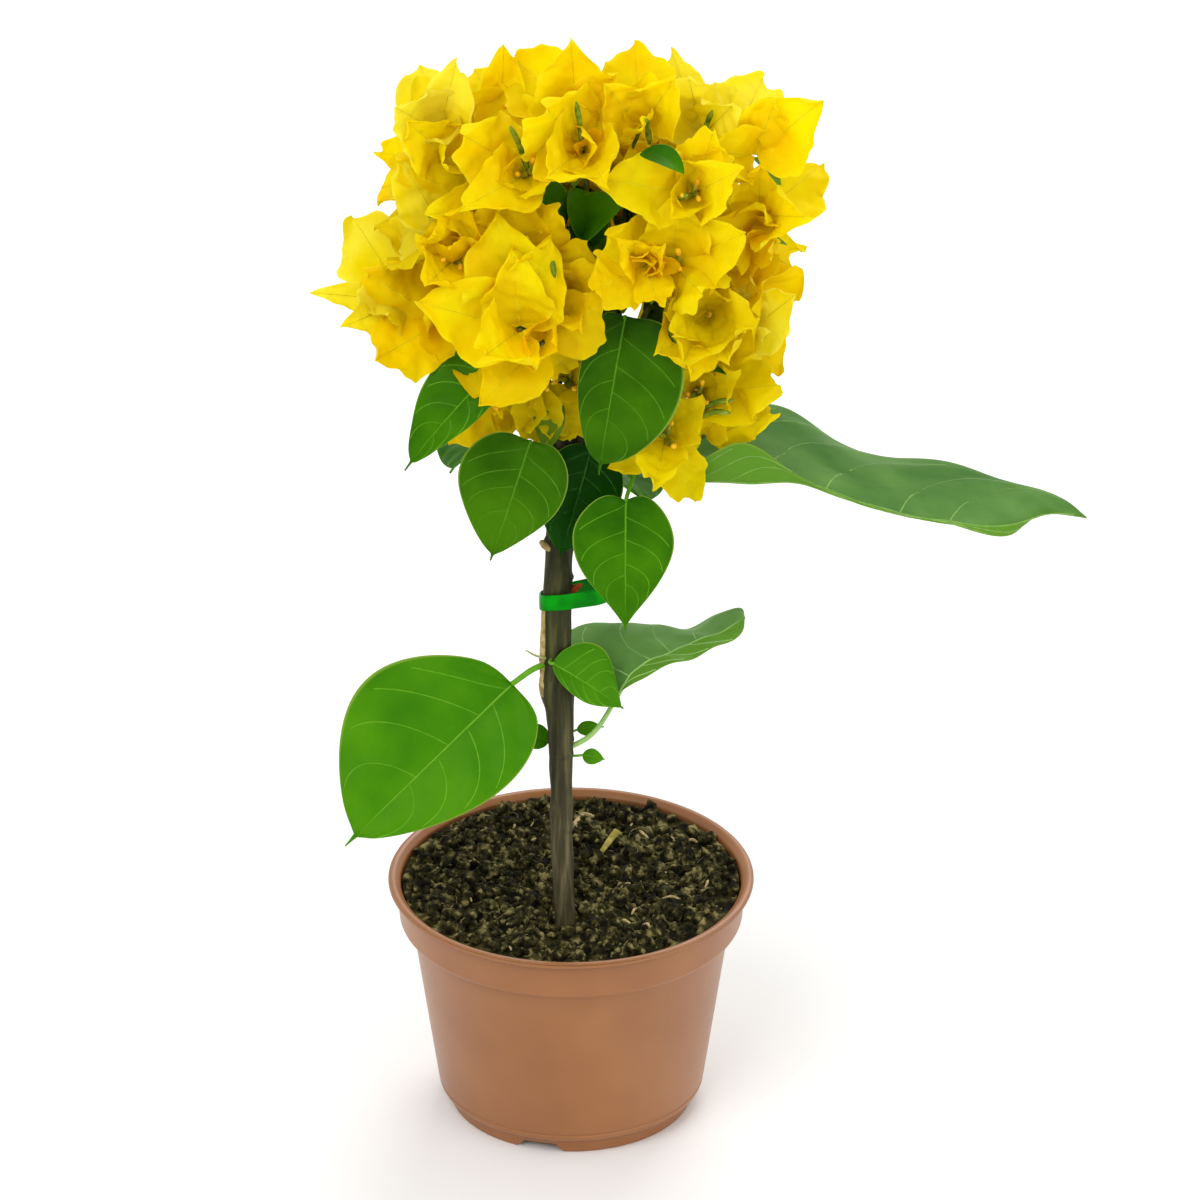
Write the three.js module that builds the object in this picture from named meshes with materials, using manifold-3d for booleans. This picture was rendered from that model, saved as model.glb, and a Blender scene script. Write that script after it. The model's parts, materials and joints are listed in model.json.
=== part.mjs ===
// A small bougainvillea with yellow bracts, grown on one bare stem in a terracotta-coloured nursery pot.
// Millimetres, +Z up. The origin is on the pot's axis at floor level, and the front looks towards -Y.
// A bearing is an angle round +Z, 0 at the front and 90 at +X. A lift is an angle above the horizon.
import * as THREE from "three";
import { mergeVertices } from "three/addons/utils/BufferGeometryUtils.js";
import Module from "manifold-3d";

const wasm = await Module();
wasm.setup();
const { Manifold } = wasm;

// Room kept between two sub-parts that nearly meet.
const CLEAR = 0.3;
// Edges shorter than this are closed up where solids cross.
const SHORT_EDGE = 0.06;
const UP = new THREE.Vector3(0, 0, 1);

// The pot: a 12 cm nursery pot with a lip, a collar band, a tapered body and a foot ring.
const POT = {
  height: 82,
  lipRadius: 60,
  lipThick: 2,
  bandTop: 57,
  bandFoot: 56.2,
  bandHeight: 14.5,
  bodyTop: 52.3,
  bodyFoot: 43.6,
  footRadius: 39.8,
  footHeight: 4.2,
  footFlare: 0.5,
  footWall: 1.8,
  chamfer: 2.4,
  lipRound: 0.7,
  insideStep: 1.6,
  floorThick: 1.6,
  wall: 1.3,
  padRadius: 9,
  recess: 3.2,
  sides: 40,
};

// Notches that let water out under the foot ring.
const NOTCH = { count: 3, first: -15, wide: 23, high: 3, slope: 4, deep: 12, past: 3 };

// Peat, a little below the lip, with a flat seat for the stem. rings are where its rough top is divided.
const SOIL = {
  top: 79.2,
  clod: 0.9,
  rings: [53, 40, 27, 14],
  seatRadius: 5,
  seatSlope: 2.5,
  seatTop: 75.5,
  sides: 32,
};

// The stem: its middle line, from the cut at soil level to the tip inside the crown, and its radius there.
const STEM = {
  foot: [-1.6, -25, 75.5],
  line: [
    [-1.6, -25, 75.5],
    [-2.8, -22.5, 103],
    [-3, -19, 135],
    [-3.4, -17, 151],
    [-4.6, -15.6, 163],
    [-4.6, -14, 177],
    [-4.3, -12.4, 191],
    [-3.5, -10, 209],
    [-1.4, -6, 234],
    [1, -3, 256],
  ],
  radii: [3.4, 3.4, 3.5, 3.7, 4.6, 4.7, 4.5, 4.2, 3.7, 2.6],
  sides: 12,
  steps: 27,
  flare: { proud: 1.3, reach: 2.5, lobes: 3 },
  graft: { height: 160, reach: 5, proud: 0.22 },
};

// A flat plastic band that loops round the stem and on to the right. dip is how much higher its back
// lies than its front, here lower, and lean is its rise per millimetre to the right.
const TIE = {
  middle: [1.35, -10.95, 190.9],
  half: [11.5, 7.5],
  corner: 5.6,
  wide: 5.6,
  thick: 0.9,
  dip: -3,
  lean: 0.2,
};

// The crown is a dome of blossom. Places on it are a bearing, a lift and a share of its reach.
const CROWN = { heart: [4, 0, 309], reach: [66, 58, 55] };

// Each bough leaves the stem and ends where its mass of blossom begins.
const BOUGH = {
  lowest: 226,
  highest: 252,
  lifts: [-60, 70],
  knee: { out: 11, lift: 35, share: 0.12 },
  share: 0.62,
  rootRadius: 2,
  tipRadius: 1.15,
  sides: 6,
  steps: 5,
};

// A bract is a papery leaf round the flowers, three to a bloom.
const BRACT = {
  wide: 0.88,
  thick: 0.75,
  cup: 0.3,
  belly: 0.12,
  open: 52,
  full: 0.62,
  taper: 0.74,
  root: 0.8,
  rows: 2,
};
const BLOOM = { seat: 1.6, flowers: 0.5, jitter: 14 };

// A bloom's twig leaves its mass's stem at a drawn share of its length, or else at one of the others.
const TWIG = {
  rootRadius: 1,
  tipRadius: 0.8,
  behind: 7,
  bend: 0.6,
  first: [0.35, 0.95],
  others: [0.9, 0.6, 0.3],
};

// How a bract that meets a neighbour is tried again: its share of its size, and degrees it closes.
const FITTING = [
  [1, 0],
  [1, 12],
  [0.9, 6],
  [0.86, 20],
  [0.76, 8],
  [0.64, 20],
];

// Blooms that fill the crown between those of the list: golden-angle places on the dome.
const FILL = {
  places: 74,
  lowest: -0.66,
  reach: 0.74,
  apart: 20,
  size: 32,
  spread: 5,
  turn: 137.508,
  sway: 30,
  faces: [-60, 80],
};

// Small leaves on the twigs of a mass.
const SPRIG = { count: 2, first: 0.25, step: 0.3, size: 19, wide: 0.6, sway: 150, lifts: [-30, 20] };

// Masses of blossom. A bloom is a place (bearing, lift, share), the bearing and lift it faces,
// its roll, its size, and how far its bracts open.
const MASSES = [
  {
    name: "blossom_front",
    heart: [-20, -14, 0.34],
    blooms: [
      [-29, -12, 0.62, -20, 4, 75, 36, 66],
      [-29, -12, 0.67, -20, 6, 280, 33, 48],
      [-6, -8, 0.56, 12, 34, 180, 31, 56],
    ],
  },
  {
    name: "blossom_left",
    heart: [-80, -6, 0.42],
    blooms: [
      [-82, -14, 0.86, -66, 2, 20, 34, 50],
      [-62, 8, 0.72, -44, 14, 60, 28, 55],
      [-92, -16, 0.8, -100, -4, 90, 30, 40],
    ],
  },
  {
    name: "blossom_top_left",
    heart: [-84, 36, 0.42],
    blooms: [
      [-100, 34, 0.76, -62, 26, 335, 35, 58],
      [-50, 48, 0.68, -30, 14, 110, 35, 58],
      [-96, 54, 0.78, -40, 46, 5, 32, 48],
      [-86, 10, 0.68, -56, 34, -14, 35, 42],
    ],
  },
  {
    name: "blossom_top",
    heart: [16, 66, 0.42],
    blooms: [
      [-60, 76, 0.68, -12, 36, 0, 34, 50],
      [20, 63, 0.67, 4, 22, 60, 30, 52],
      [110, 66, 0.7, 16, 44, 5, 34, 52],
      [36, 44, 0.72, 16, 28, 52, 32, 58],
    ],
  },
  {
    name: "blossom_front_right",
    heart: [26, 6, 0.4],
    blooms: [
      [20, 12, 0.7, 6, 4, 20, 32, 54],
      [48, -18, 0.7, 26, -20, 0, 32, 58],
    ],
  },
  {
    name: "blossom_top_right",
    heart: [100, 42, 0.42],
    blooms: [
      [100, 32, 0.76, 34, 26, 52, 36, 64],
      [116, 46, 0.8, 40, 56, 0, 32, 46],
      [99, 18, 0.77, 80, 20, 30, 31, 54],
    ],
  },
  {
    name: "blossom_right",
    heart: [76, -2, 0.44],
    blooms: [
      [74, 12, 0.74, 50, 12, 100, 33, 60],
      [88, -6, 0.74, 80, -2, 60, 30, 54],
      [80, -22, 0.8, 64, -8, 40, 30, 56],
      [48, 6, 0.7, 32, 6, 80, 33, 62],
    ],
  },
  {
    name: "blossom_low_right",
    heart: [56, -50, 0.66],
    blooms: [
      [47, -52, 1.04, 26, -44, 180, 32, 50],
      [64, -42, 1.04, 76, -26, 90, 31, 52],
      [52, -40, 0.8, 34, -20, 30, 33, 60],
    ],
  },
  {
    name: "blossom_under",
    heart: [-34, -54, 0.56],
    blooms: [
      [-47, -52, 0.88, -36, -18, 180, 26, 60],
      [-20, -58, 0.84, -8, -16, 60, 26, 62],
      [-67, -36, 0.84, -56, -20, 200, 29, 50],
    ],
  },
  { name: "blossom_back", heart: [180, 4, 0.44], blooms: [] },
  { name: "blossom_back_left", heart: [-132, 4, 0.42], blooms: [] },
  { name: "blossom_back_right", heart: [134, 4, 0.42], blooms: [] },
  { name: "blossom_back_top", heart: [178, 56, 0.44], blooms: [] },
  { name: "blossom_back_low", heart: [160, -48, 0.5], blooms: [] },
];

// Green leaves on stalks of their own: where the stalk leaves the stem, the blade's base and tip,
// the way its face looks, and its width. full and taper shape the outline, lobe hearts the base,
// near and far bend the two halves, arch bows the midrib.
const LEAVES = [
  {
    name: "leaf_low_left",
    from: [-4.6, -14.6, 169],
    through: [-12, -19.5, 168.4],
    base: [-18.8, -21, 163.8],
    tip: [-72.4, -46, 118.1],
    face: [0, 30],
    width: 50,
    full: 0.42,
    taper: 1,
    lobe: 0.02,
    near: 0.06,
    far: 0.06,
    arch: 2,
  },
  {
    name: "leaf_low_front",
    from: [-4.6, -14.6, 171.5],
    through: [-6.6, -21, 171.6],
    base: [-5, -22.6, 171.6],
    tip: [16.9, -28.5, 158.8],
    face: [0, 26],
    width: 19.5,
    full: 0.5,
    taper: 0.9,
    lobe: 0.02,
    near: 0.08,
    far: 0.08,
    arch: 1,
  },
  {
    name: "leaf_low_right",
    from: [-3.2, -18, 137.5],
    through: [7, -15.5, 142.6],
    base: [16.6, -10, 154.9],
    tip: [56.4, 6, 173.2],
    face: [-50, 44],
    width: 54,
    full: 0.16,
    taper: 0.7,
    lobe: 0.14,
    near: 0.75,
    far: 0.4,
    arch: -3,
  },
  {
    name: "leaf_bud_right",
    from: [-3.2, -18, 136],
    through: [2, -17, 135.4],
    base: [3.8, -16.6, 135.4],
    tip: [11.1, -18, 134.6],
    face: [0, 40],
    width: 5.4,
    full: 0.5,
    taper: 0.5,
    lobe: 0,
    near: 0.1,
    far: 0.1,
    arch: 0.4,
  },
  {
    name: "leaf_bud_back",
    from: [-3.2, -17.4, 142.2],
    through: [0.8, -13.4, 142.4],
    base: [2, -12.6, 142.5],
    tip: [10.8, -10.6, 142.6],
    face: [0, 40],
    width: 5,
    full: 0.5,
    taper: 0.6,
    lobe: 0,
    near: 0.1,
    far: 0.1,
    arch: 0.5,
  },
  {
    name: "leaf_bud_left",
    from: [-3.2, -17.4, 140.4],
    through: [-6, -13.8, 140.6],
    base: [-7, -13.2, 140.8],
    tip: [-15.8, -11, 142.6],
    face: [0, 40],
    width: 7,
    full: 0.4,
    taper: 0.5,
    lobe: 0,
    near: 0.1,
    far: 0.1,
    arch: 0.5,
  },
  {
    name: "leaf_upper_left",
    from: [-4.2, -15.2, 258],
    through: [-13, -28, 284],
    base: [-26.3, -34, 290],
    tip: [-50.7, -43, 254.4],
    face: [-10, 24],
    width: 25,
    full: 0.5,
    taper: 1,
    lobe: 0.02,
    near: 0.1,
    far: 0.1,
    arch: 3.4,
  },
  {
    name: "leaf_centre_left",
    from: [-2.4, -8, 222],
    through: [-10.5, -18, 245],
    base: [-6.7, -28, 254],
    tip: [-25.4, -39, 217.5],
    face: [0, 27],
    width: 34,
    full: 0.42,
    taper: 0.95,
    lobe: 0.05,
    near: 0.06,
    far: 0.06,
    arch: 2,
  },
  {
    name: "leaf_centre_dark",
    from: [-1.6, -6.4, 231],
    through: [4, -13, 245],
    base: [7, -15.5, 247],
    tip: [-3.6, -19, 208.5],
    face: [8, 18],
    width: 27,
    full: 0.5,
    taper: 0.95,
    lobe: 0.02,
    near: 0.05,
    far: 0.05,
    arch: 2,
  },
  {
    name: "leaf_centre_right",
    from: [5.6, -15, 262],
    through: [10.5, -28, 290],
    base: [13.9, -38, 302],
    tip: [9.2, -51, 254.6],
    face: [0, 22],
    width: 33,
    full: 0.46,
    taper: 0.9,
    lobe: 0.02,
    near: 0.12,
    far: 0.12,
    arch: 2.4,
  },
  {
    name: "leaf_heart",
    from: [-1.5, -6.4, 232],
    through: [20, -13, 240],
    base: [17.4, -25, 231],
    tip: [17.8, -35, 191],
    face: [0, 27],
    width: 32,
    full: 0.36,
    taper: 0.95,
    lobe: 0.12,
    near: 0.05,
    far: 0.05,
    arch: 1.6,
  },
  {
    name: "leaf_great_right",
    from: [-1.6, -6.4, 230],
    through: [10, 0, 234],
    base: [22.3, 4, 231.6],
    tip: [166.1, 6, 210.2],
    face: [180, 84],
    width: 73,
    full: 0.22,
    taper: 0.55,
    lobe: 0.03,
    near: 0.2,
    far: -0.04,
    arch: 4,
  },
  {
    name: "leaf_gap_left",
    from: [1, -3, 254],
    through: [0.5, -9.5, 284],
    base: [0.6, -13, 304],
    tip: [-14, -22, 330],
    face: [10, 20],
    width: 20,
    full: 0.5,
    taper: 0.66,
    lobe: 0,
    near: 0.15,
    far: 0.15,
    arch: 2,
  },
];

// Leaves round the back of the crown's foot, by bearing, each drooping from the stem like those in front.
const BACK_LEAVES = [
  { name: "leaf_back_left", bearing: -140, height: 236, out: 28, drop: 34, size: 46, width: 32 },
  { name: "leaf_back_right", bearing: 152, height: 222, out: 26, drop: 34, size: 48, width: 33 },
  { name: "leaf_back", bearing: 178, height: 238, out: 30, drop: 30, size: 44, width: 30 },
];
const LEAF = { thick: 0.9, stalkRadius: 0.95, rows: 5 };

const FINISH = {
  terracotta: new THREE.MeshStandardMaterial({ color: "#b4744f", roughness: 0.42, metalness: 0 }),
  peat: new THREE.MeshStandardMaterial({ color: "#2d2721", roughness: 0.95, metalness: 0 }),
  bark: new THREE.MeshStandardMaterial({ color: "#5a4f3f", roughness: 0.8, metalness: 0 }),
  tie: new THREE.MeshStandardMaterial({ color: "#0a8a1c", roughness: 0.35, metalness: 0 }),
  leaf: new THREE.MeshStandardMaterial({ color: "#3f7d1a", roughness: 0.5, metalness: 0 }),
  bract: new THREE.MeshStandardMaterial({ color: "#f2cf05", roughness: 0.6, metalness: 0 }),
};

const degrees = THREE.MathUtils.degToRad;
const point = ([x, y, z]) => new THREE.Vector3(x, y, z);

// A draw between 0 and 1 that is the same each time for a seed and an index.
function draw(seed, index) {
  const wave = Math.sin(seed * 127.1 + index * 311.7) * 43758.5453;
  return wave - Math.floor(wave);
}

function heading(bearing, lift) {
  const b = degrees(bearing);
  const l = degrees(lift);
  return new THREE.Vector3(Math.cos(l) * Math.sin(b), -Math.cos(l) * Math.cos(b), Math.sin(l));
}

function onCrown(bearing, lift, share) {
  return heading(bearing, lift).multiply(point(CROWN.reach)).multiplyScalar(share).add(point(CROWN.heart));
}

// Closed triangles as a solid that can be joined and cut.
function solidOf(geometry) {
  geometry.deleteAttribute("normal");
  geometry.deleteAttribute("uv");
  const merged = mergeVertices(geometry, 1e-4);
  const corners = merged.index.array;
  const kept = [];
  for (let i = 0; i < corners.length; i += 3) {
    const [a, b, c] = [corners[i], corners[i + 1], corners[i + 2]];
    if (a !== b && b !== c && c !== a) kept.push(a, b, c);
  }
  return new Manifold(
    new wasm.Mesh({
      numProp: 3,
      vertProperties: new Float32Array(merged.attributes.position.array),
      triVerts: new Uint32Array(kept),
    }),
  );
}

// The largest body of a solid, without the hollows sealed in it.
function whole(solid) {
  return solid.decompose().reduce((best, body) => (body.volume() > best.volume() ? body : best));
}

function meshOf(name, solid, finish) {
  const { numProp, vertProperties, triVerts } = whole(solid.simplify(SHORT_EDGE)).getMesh();
  const position = new Float32Array((vertProperties.length / numProp) * 3);
  for (let i = 0; i * numProp < vertProperties.length; i++)
    position.set(vertProperties.subarray(i * numProp, i * numProp + 3), i * 3);
  const geometry = new THREE.BufferGeometry();
  geometry.setAttribute("position", new THREE.BufferAttribute(position, 3));
  geometry.setIndex(new THREE.BufferAttribute(triVerts, 1));
  geometry.computeVertexNormals();
  const mesh = new THREE.Mesh(geometry, finish);
  mesh.name = name;
  return mesh;
}

// A tapering limb: a cylinder bent along a smooth curve through the points.
function limb(points, radiusAt, sides, steps) {
  const path = new THREE.CatmullRomCurve3(points.map((p) => p.clone()));
  const frames = path.computeFrenetFrames(steps, false);
  const geometry = new THREE.CylinderGeometry(1, 1, 1, sides, steps);
  const position = geometry.attributes.position;
  for (let i = 0; i < position.count; i++) {
    const step = Math.round((position.getY(i) + 0.5) * steps);
    const radius = radiusAt(step / steps, Math.atan2(position.getZ(i), position.getX(i)));
    const spot = path
      .getPointAt(step / steps)
      .addScaledVector(frames.normals[step], position.getX(i) * radius)
      .addScaledVector(frames.binormals[step], -position.getZ(i) * radius);
    position.setXYZ(i, spot.x, spot.y, spot.z);
  }
  return solidOf(geometry);
}

const taper = (from, to) => (t) => from + (to - from) * t;

// A leaf or bract: a thin lens-shaped blade from base to tip. Its halves have a rounded outline,
// t^full (1 - t)^taper, and bend up or down by near and far times the way out from the midrib.
function blade(shape) {
  const { base, tip, face, width, thick, full, taper: slim, lobe, near, far, arch, rows } = shape;
  const along = tip.clone().sub(base);
  const length = along.length();
  along.normalize();
  const side = face.clone().cross(along).normalize();
  const out = along.clone().cross(side);
  const widest = full / (full + slim);
  const scale = width / 2 / (widest ** full * (1 - widest) ** slim);
  const vertices = [];
  const put = (t, s, proud) => {
    const half = scale * t ** full * (1 - t) ** slim;
    const back = lobe * length * s * s * (1 - t) ** 2 * (t > 0 ? 1 : 0);
    const rise = arch * 4 * t * (1 - t) + (s < 0 ? near : far) * half * Math.abs(s);
    const spot = base
      .clone()
      .addScaledVector(along, length * t - back)
      .addScaledVector(side, s * half)
      .addScaledVector(out, rise + proud);
    vertices.push(spot.x, spot.y, spot.z);
  };
  put(0, 0, 0);
  put(1, 0, 0);
  for (let row = 1; row <= rows; row++) {
    const t = 0.5 - 0.5 * Math.cos((Math.PI * row) / (rows + 1));
    put(t, -1, 0);
    put(t, 0, thick / 2);
    put(t, 1, 0);
    put(t, 0, -thick / 2);
  }
  const corner = (row, k) => 2 + row * 4 + k;
  const faces = [];
  for (let k = 0; k < 4; k++) {
    const next = (k + 1) % 4;
    faces.push(0, corner(0, k), corner(0, next));
    faces.push(1, corner(rows - 1, next), corner(rows - 1, k));
    for (let row = 0; row < rows - 1; row++) {
      faces.push(corner(row, k), corner(row + 1, k), corner(row + 1, next));
      faces.push(corner(row, k), corner(row + 1, next), corner(row, next));
    }
  }
  const geometry = new THREE.BufferGeometry();
  geometry.setAttribute("position", new THREE.Float32BufferAttribute(vertices, 3));
  geometry.setIndex(faces);
  return solidOf(geometry);
}

// Solids already placed, with the sub-part and the bloom they belong to.
const placed = [];

function claim(owner, solid, bloom = null) {
  placed.push({ owner, bloom, solid, box: solid.boundingBox() });
  return solid;
}

// Whether a solid keeps clear of all that is placed, apart from what it is joined to.
function isClear(solid, isJoined) {
  const { min, max } = solid.boundingBox();
  const meets = (box, k) => min[k] - CLEAR < box.max[k] && max[k] + CLEAR > box.min[k];
  const isNear = ({ box }) => [0, 1, 2].every((k) => meets(box, k));
  return placed.every((other) => isJoined(other) || !isNear(other) || solid.minGap(other.solid, 1) >= CLEAR);
}

// Pot and soil are turned on the lathe round the pot's axis.
function turned(profile, sides) {
  const geometry = new THREE.LatheGeometry(
    profile.map(([radius, height]) => new THREE.Vector2(radius, height)),
    sides,
  );
  return geometry.rotateX(Math.PI / 2);
}

function pot() {
  const { height, lipRadius, lipThick, bandTop, bandFoot, bodyTop, bodyFoot, footRadius, footHeight } = POT;
  const bandBottom = height - POT.bandHeight;
  const floorTop = POT.recess + POT.floorThick;
  const profile = [
    [0, 0],
    [POT.padRadius, 0],
    [POT.padRadius + 1, POT.recess],
    [footRadius - POT.footWall, POT.recess],
    [footRadius - POT.footWall, 0],
    [footRadius, 0],
    [footRadius + POT.footFlare, footHeight],
    [bodyFoot, footHeight + POT.chamfer],
    [bodyTop, bandBottom],
    [bandFoot, bandBottom + POT.footFlare],
    [bandTop, height - lipThick - POT.lipRound],
    [lipRadius - POT.lipRound, height - lipThick],
    [lipRadius, height - lipThick / 2],
    [lipRadius - POT.lipRound, height],
    [lipRadius - 3 * POT.lipRound, height],
    [bandTop - POT.wall, height - POT.insideStep],
    [bandFoot - POT.wall, bandBottom + POT.footFlare],
    [bodyTop - POT.wall, bandBottom - POT.footFlare],
    [bodyFoot - POT.wall, footHeight + POT.chamfer],
    [footRadius - POT.footFlare, floorTop],
    [0, floorTop],
  ];
  const shell = solidOf(turned(profile, POT.sides));
  const cuts = [];
  for (let i = 0; i < NOTCH.count; i++) cuts.push(notch(NOTCH.first + (360 / NOTCH.count) * i));
  return shell.subtract(Manifold.union(cuts));
}

// One notch of the foot ring: a wedge with sloped ends, from the ring's inside out past it.
function notch(bearing) {
  const half = (POT.footRadius * degrees(NOTCH.wide)) / 2;
  const outline = new THREE.Shape([
    new THREE.Vector2(-half - NOTCH.slope / 4, -1),
    new THREE.Vector2(half + NOTCH.slope / 4, -1),
    new THREE.Vector2(half - NOTCH.slope / 2, NOTCH.high),
    new THREE.Vector2(-half + NOTCH.slope / 2, NOTCH.high),
  ]);
  const geometry = new THREE.ExtrudeGeometry(outline, { depth: NOTCH.deep, bevelEnabled: false });
  geometry.rotateX(Math.PI / 2);
  geometry.translate(0, -POT.footRadius + NOTCH.deep - NOTCH.past, 0);
  geometry.rotateZ(degrees(bearing));
  return solidOf(geometry);
}

// Peat: it fills the pot 0.3 mm clear of the wall, and its top is rough with small clods.
function soil() {
  const bandBottom = POT.height - POT.bandHeight;
  const inner = POT.wall + CLEAR;
  const bottom = POT.recess + POT.floorThick + CLEAR;
  const profile = [
    [0, bottom],
    [POT.footRadius - POT.footFlare - CLEAR, bottom],
    [POT.bodyFoot - inner, POT.footHeight + POT.chamfer + CLEAR],
    [POT.bodyTop - inner, bandBottom - POT.footFlare + CLEAR],
    [POT.bandFoot - inner, bandBottom + POT.footFlare + CLEAR],
    [POT.bandTop - inner - CLEAR, SOIL.top],
    ...SOIL.rings.map((radius) => [radius, SOIL.top]),
    [0, SOIL.top],
  ];
  const geometry = turned(profile, SOIL.sides);
  const position = geometry.attributes.position;
  for (let i = 0; i < position.count; i++) {
    const [x, y, z] = [position.getX(i), position.getY(i), position.getZ(i)];
    if (z < SOIL.top - 0.01 || Math.hypot(x, y) > SOIL.rings[0] + 0.5) continue;
    const clod = Math.sin(x * 0.31 + 2 * Math.sin(y * 0.17)) * Math.sin(y * 0.27 + 1.3 * Math.sin(x * 0.21));
    position.setZ(i, z + SOIL.clod * clod);
  }
  const deep = 6;
  const seat = new THREE.CylinderGeometry(SOIL.seatRadius + SOIL.seatSlope, SOIL.seatRadius, deep, 16);
  seat.rotateX(Math.PI / 2).translate(STEM.foot[0], STEM.foot[1], SOIL.seatTop + deep / 2);
  return solidOf(geometry).subtract(solidOf(seat));
}

function stemRadius(t) {
  const place = t * (STEM.radii.length - 1);
  const low = Math.min(Math.floor(place), STEM.radii.length - 2);
  return THREE.MathUtils.lerp(STEM.radii[low], STEM.radii[low + 1], place - low);
}

// The stem, with a flared foot and a swelling on its left where it was grafted. grown is added all round.
function stem(grown = 0) {
  const line = STEM.line.map(point);
  const path = new THREE.CatmullRomCurve3(line);
  const shape = (t, angle) => {
    const height = path.getPointAt(t).z;
    const { proud, reach, lobes } = STEM.flare;
    const foot = proud * Math.exp(-(height - STEM.foot[2]) / reach) * (0.7 + 0.3 * Math.cos(lobes * angle));
    const away = (height - STEM.graft.height) / STEM.graft.reach;
    const swell = 1 + STEM.graft.proud * Math.exp(-away * away);
    return stemRadius(t) * swell + foot + grown;
  };
  const solid = limb(line, shape, STEM.sides, STEM.steps);
  return grown ? solid : solid.trimByPlane([0, 0, 1], STEM.foot[2]);
}

// The tie: a band bent in a rounded loop, thin and flat, dipping towards the front and rising to the right.
function tie() {
  const { middle, half, corner, wide, thick, dip, lean } = TIE;
  const loop = (grow) => {
    const [x, y, r] = [half[0] + grow, half[1] + grow, corner + grow];
    const shape = new THREE.Shape();
    shape.absarc(x - r, y - r, r, 0, Math.PI / 2);
    shape.absarc(-x + r, y - r, r, Math.PI / 2, Math.PI);
    shape.absarc(-x + r, -y + r, r, Math.PI, 1.5 * Math.PI);
    shape.absarc(x - r, -y + r, r, 1.5 * Math.PI, 2 * Math.PI);
    return shape;
  };
  const outline = loop(0);
  outline.holes.push(new THREE.Path(loop(-thick).getPoints(4)));
  const geometry = new THREE.ExtrudeGeometry(outline, { depth: wide, bevelEnabled: false, curveSegments: 4 });
  geometry.translate(0, 0, -wide / 2);
  const position = geometry.attributes.position;
  for (let i = 0; i < position.count; i++) {
    const rise = (dip * position.getY(i)) / (2 * half[1]) + lean * position.getX(i);
    position.setZ(i, position.getZ(i) + rise);
  }
  geometry.translate(...middle);
  return solidOf(geometry);
}

// Where the stem's middle line is at a height.
function stemAt(height) {
  const path = new THREE.CatmullRomCurve3(STEM.line.map(point));
  let [low, high] = [0, 1];
  for (let i = 0; i < 30; i++) {
    const t = (low + high) / 2;
    if (path.getPointAt(t).z < height) low = t;
    else high = t;
  }
  return path.getPointAt(low);
}

// The line of a bough from the stem's middle to its mass, and of the mass's own stem beyond the bough's tip.
function boughLine({ heart: [bearing, lift, share] }) {
  const heart = onCrown(bearing, lift, share);
  const root = stemAt(THREE.MathUtils.mapLinear(lift, ...BOUGH.lifts, BOUGH.lowest, BOUGH.highest));
  const out = heading(bearing, BOUGH.knee.lift).multiplyScalar(BOUGH.knee.out);
  const knee = root.clone().add(out).lerp(heart, BOUGH.knee.share);
  const end = root.clone().lerp(heart, BOUGH.share).lerp(knee.clone().lerp(heart, 0.5), 0.5);
  return { root, knee, end, heart };
}

function bough(mass, grown = 0) {
  const { root, knee, end } = boughLine(mass);
  const radius = taper(BOUGH.rootRadius + grown, BOUGH.tipRadius + grown);
  return limb([root, knee, end], radius, BOUGH.sides, BOUGH.steps);
}

// The three directions of a bloom: the way it faces, and up and right as seen from there.
function bloomFrame(bearing, lift) {
  const axis = heading(bearing, lift);
  const up = UP.clone().addScaledVector(axis, -UP.dot(axis)).normalize();
  const right = up.clone().cross(axis);
  return { axis, up, right };
}

// The bracts of one bloom stand round its axis, open by an angle.
function bloomPieces(bloom, seed) {
  const [, , , faceBearing, faceLift, roll, size, open] = bloom.numbers;
  const { axis, up, right } = bloomFrame(faceBearing, faceLift);
  const bracts = [];
  for (let i = 0; i < 3; i++) {
    const turn = degrees(roll + 120 * i + (draw(seed, i) - 0.5) * BLOOM.jitter);
    const radial = up.clone().multiplyScalar(Math.cos(turn)).addScaledVector(right, Math.sin(turn));
    const lean = degrees(open + (draw(seed, i + 10) - 0.5) * BLOOM.jitter);
    const along = axis.clone().multiplyScalar(Math.cos(lean)).addScaledVector(radial, Math.sin(lean));
    const face = axis.clone().multiplyScalar(Math.sin(lean)).addScaledVector(radial, -Math.cos(lean));
    const hinge = axis.clone().cross(radial);
    bracts.push({ along, face, hinge, size: size * (0.94 + 0.12 * draw(seed, i + 20)) });
  }
  return { axis, bracts };
}

function bractSolid(at, { along, face, size, rows }) {
  return blade({
    base: at.clone().addScaledVector(along, BRACT.root),
    tip: at.clone().addScaledVector(along, size),
    face,
    width: size * BRACT.wide,
    thick: BRACT.thick,
    full: BRACT.full,
    taper: BRACT.taper,
    lobe: 0,
    near: BRACT.cup,
    far: BRACT.cup,
    arch: -BRACT.belly * size,
    rows,
  });
}

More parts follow.
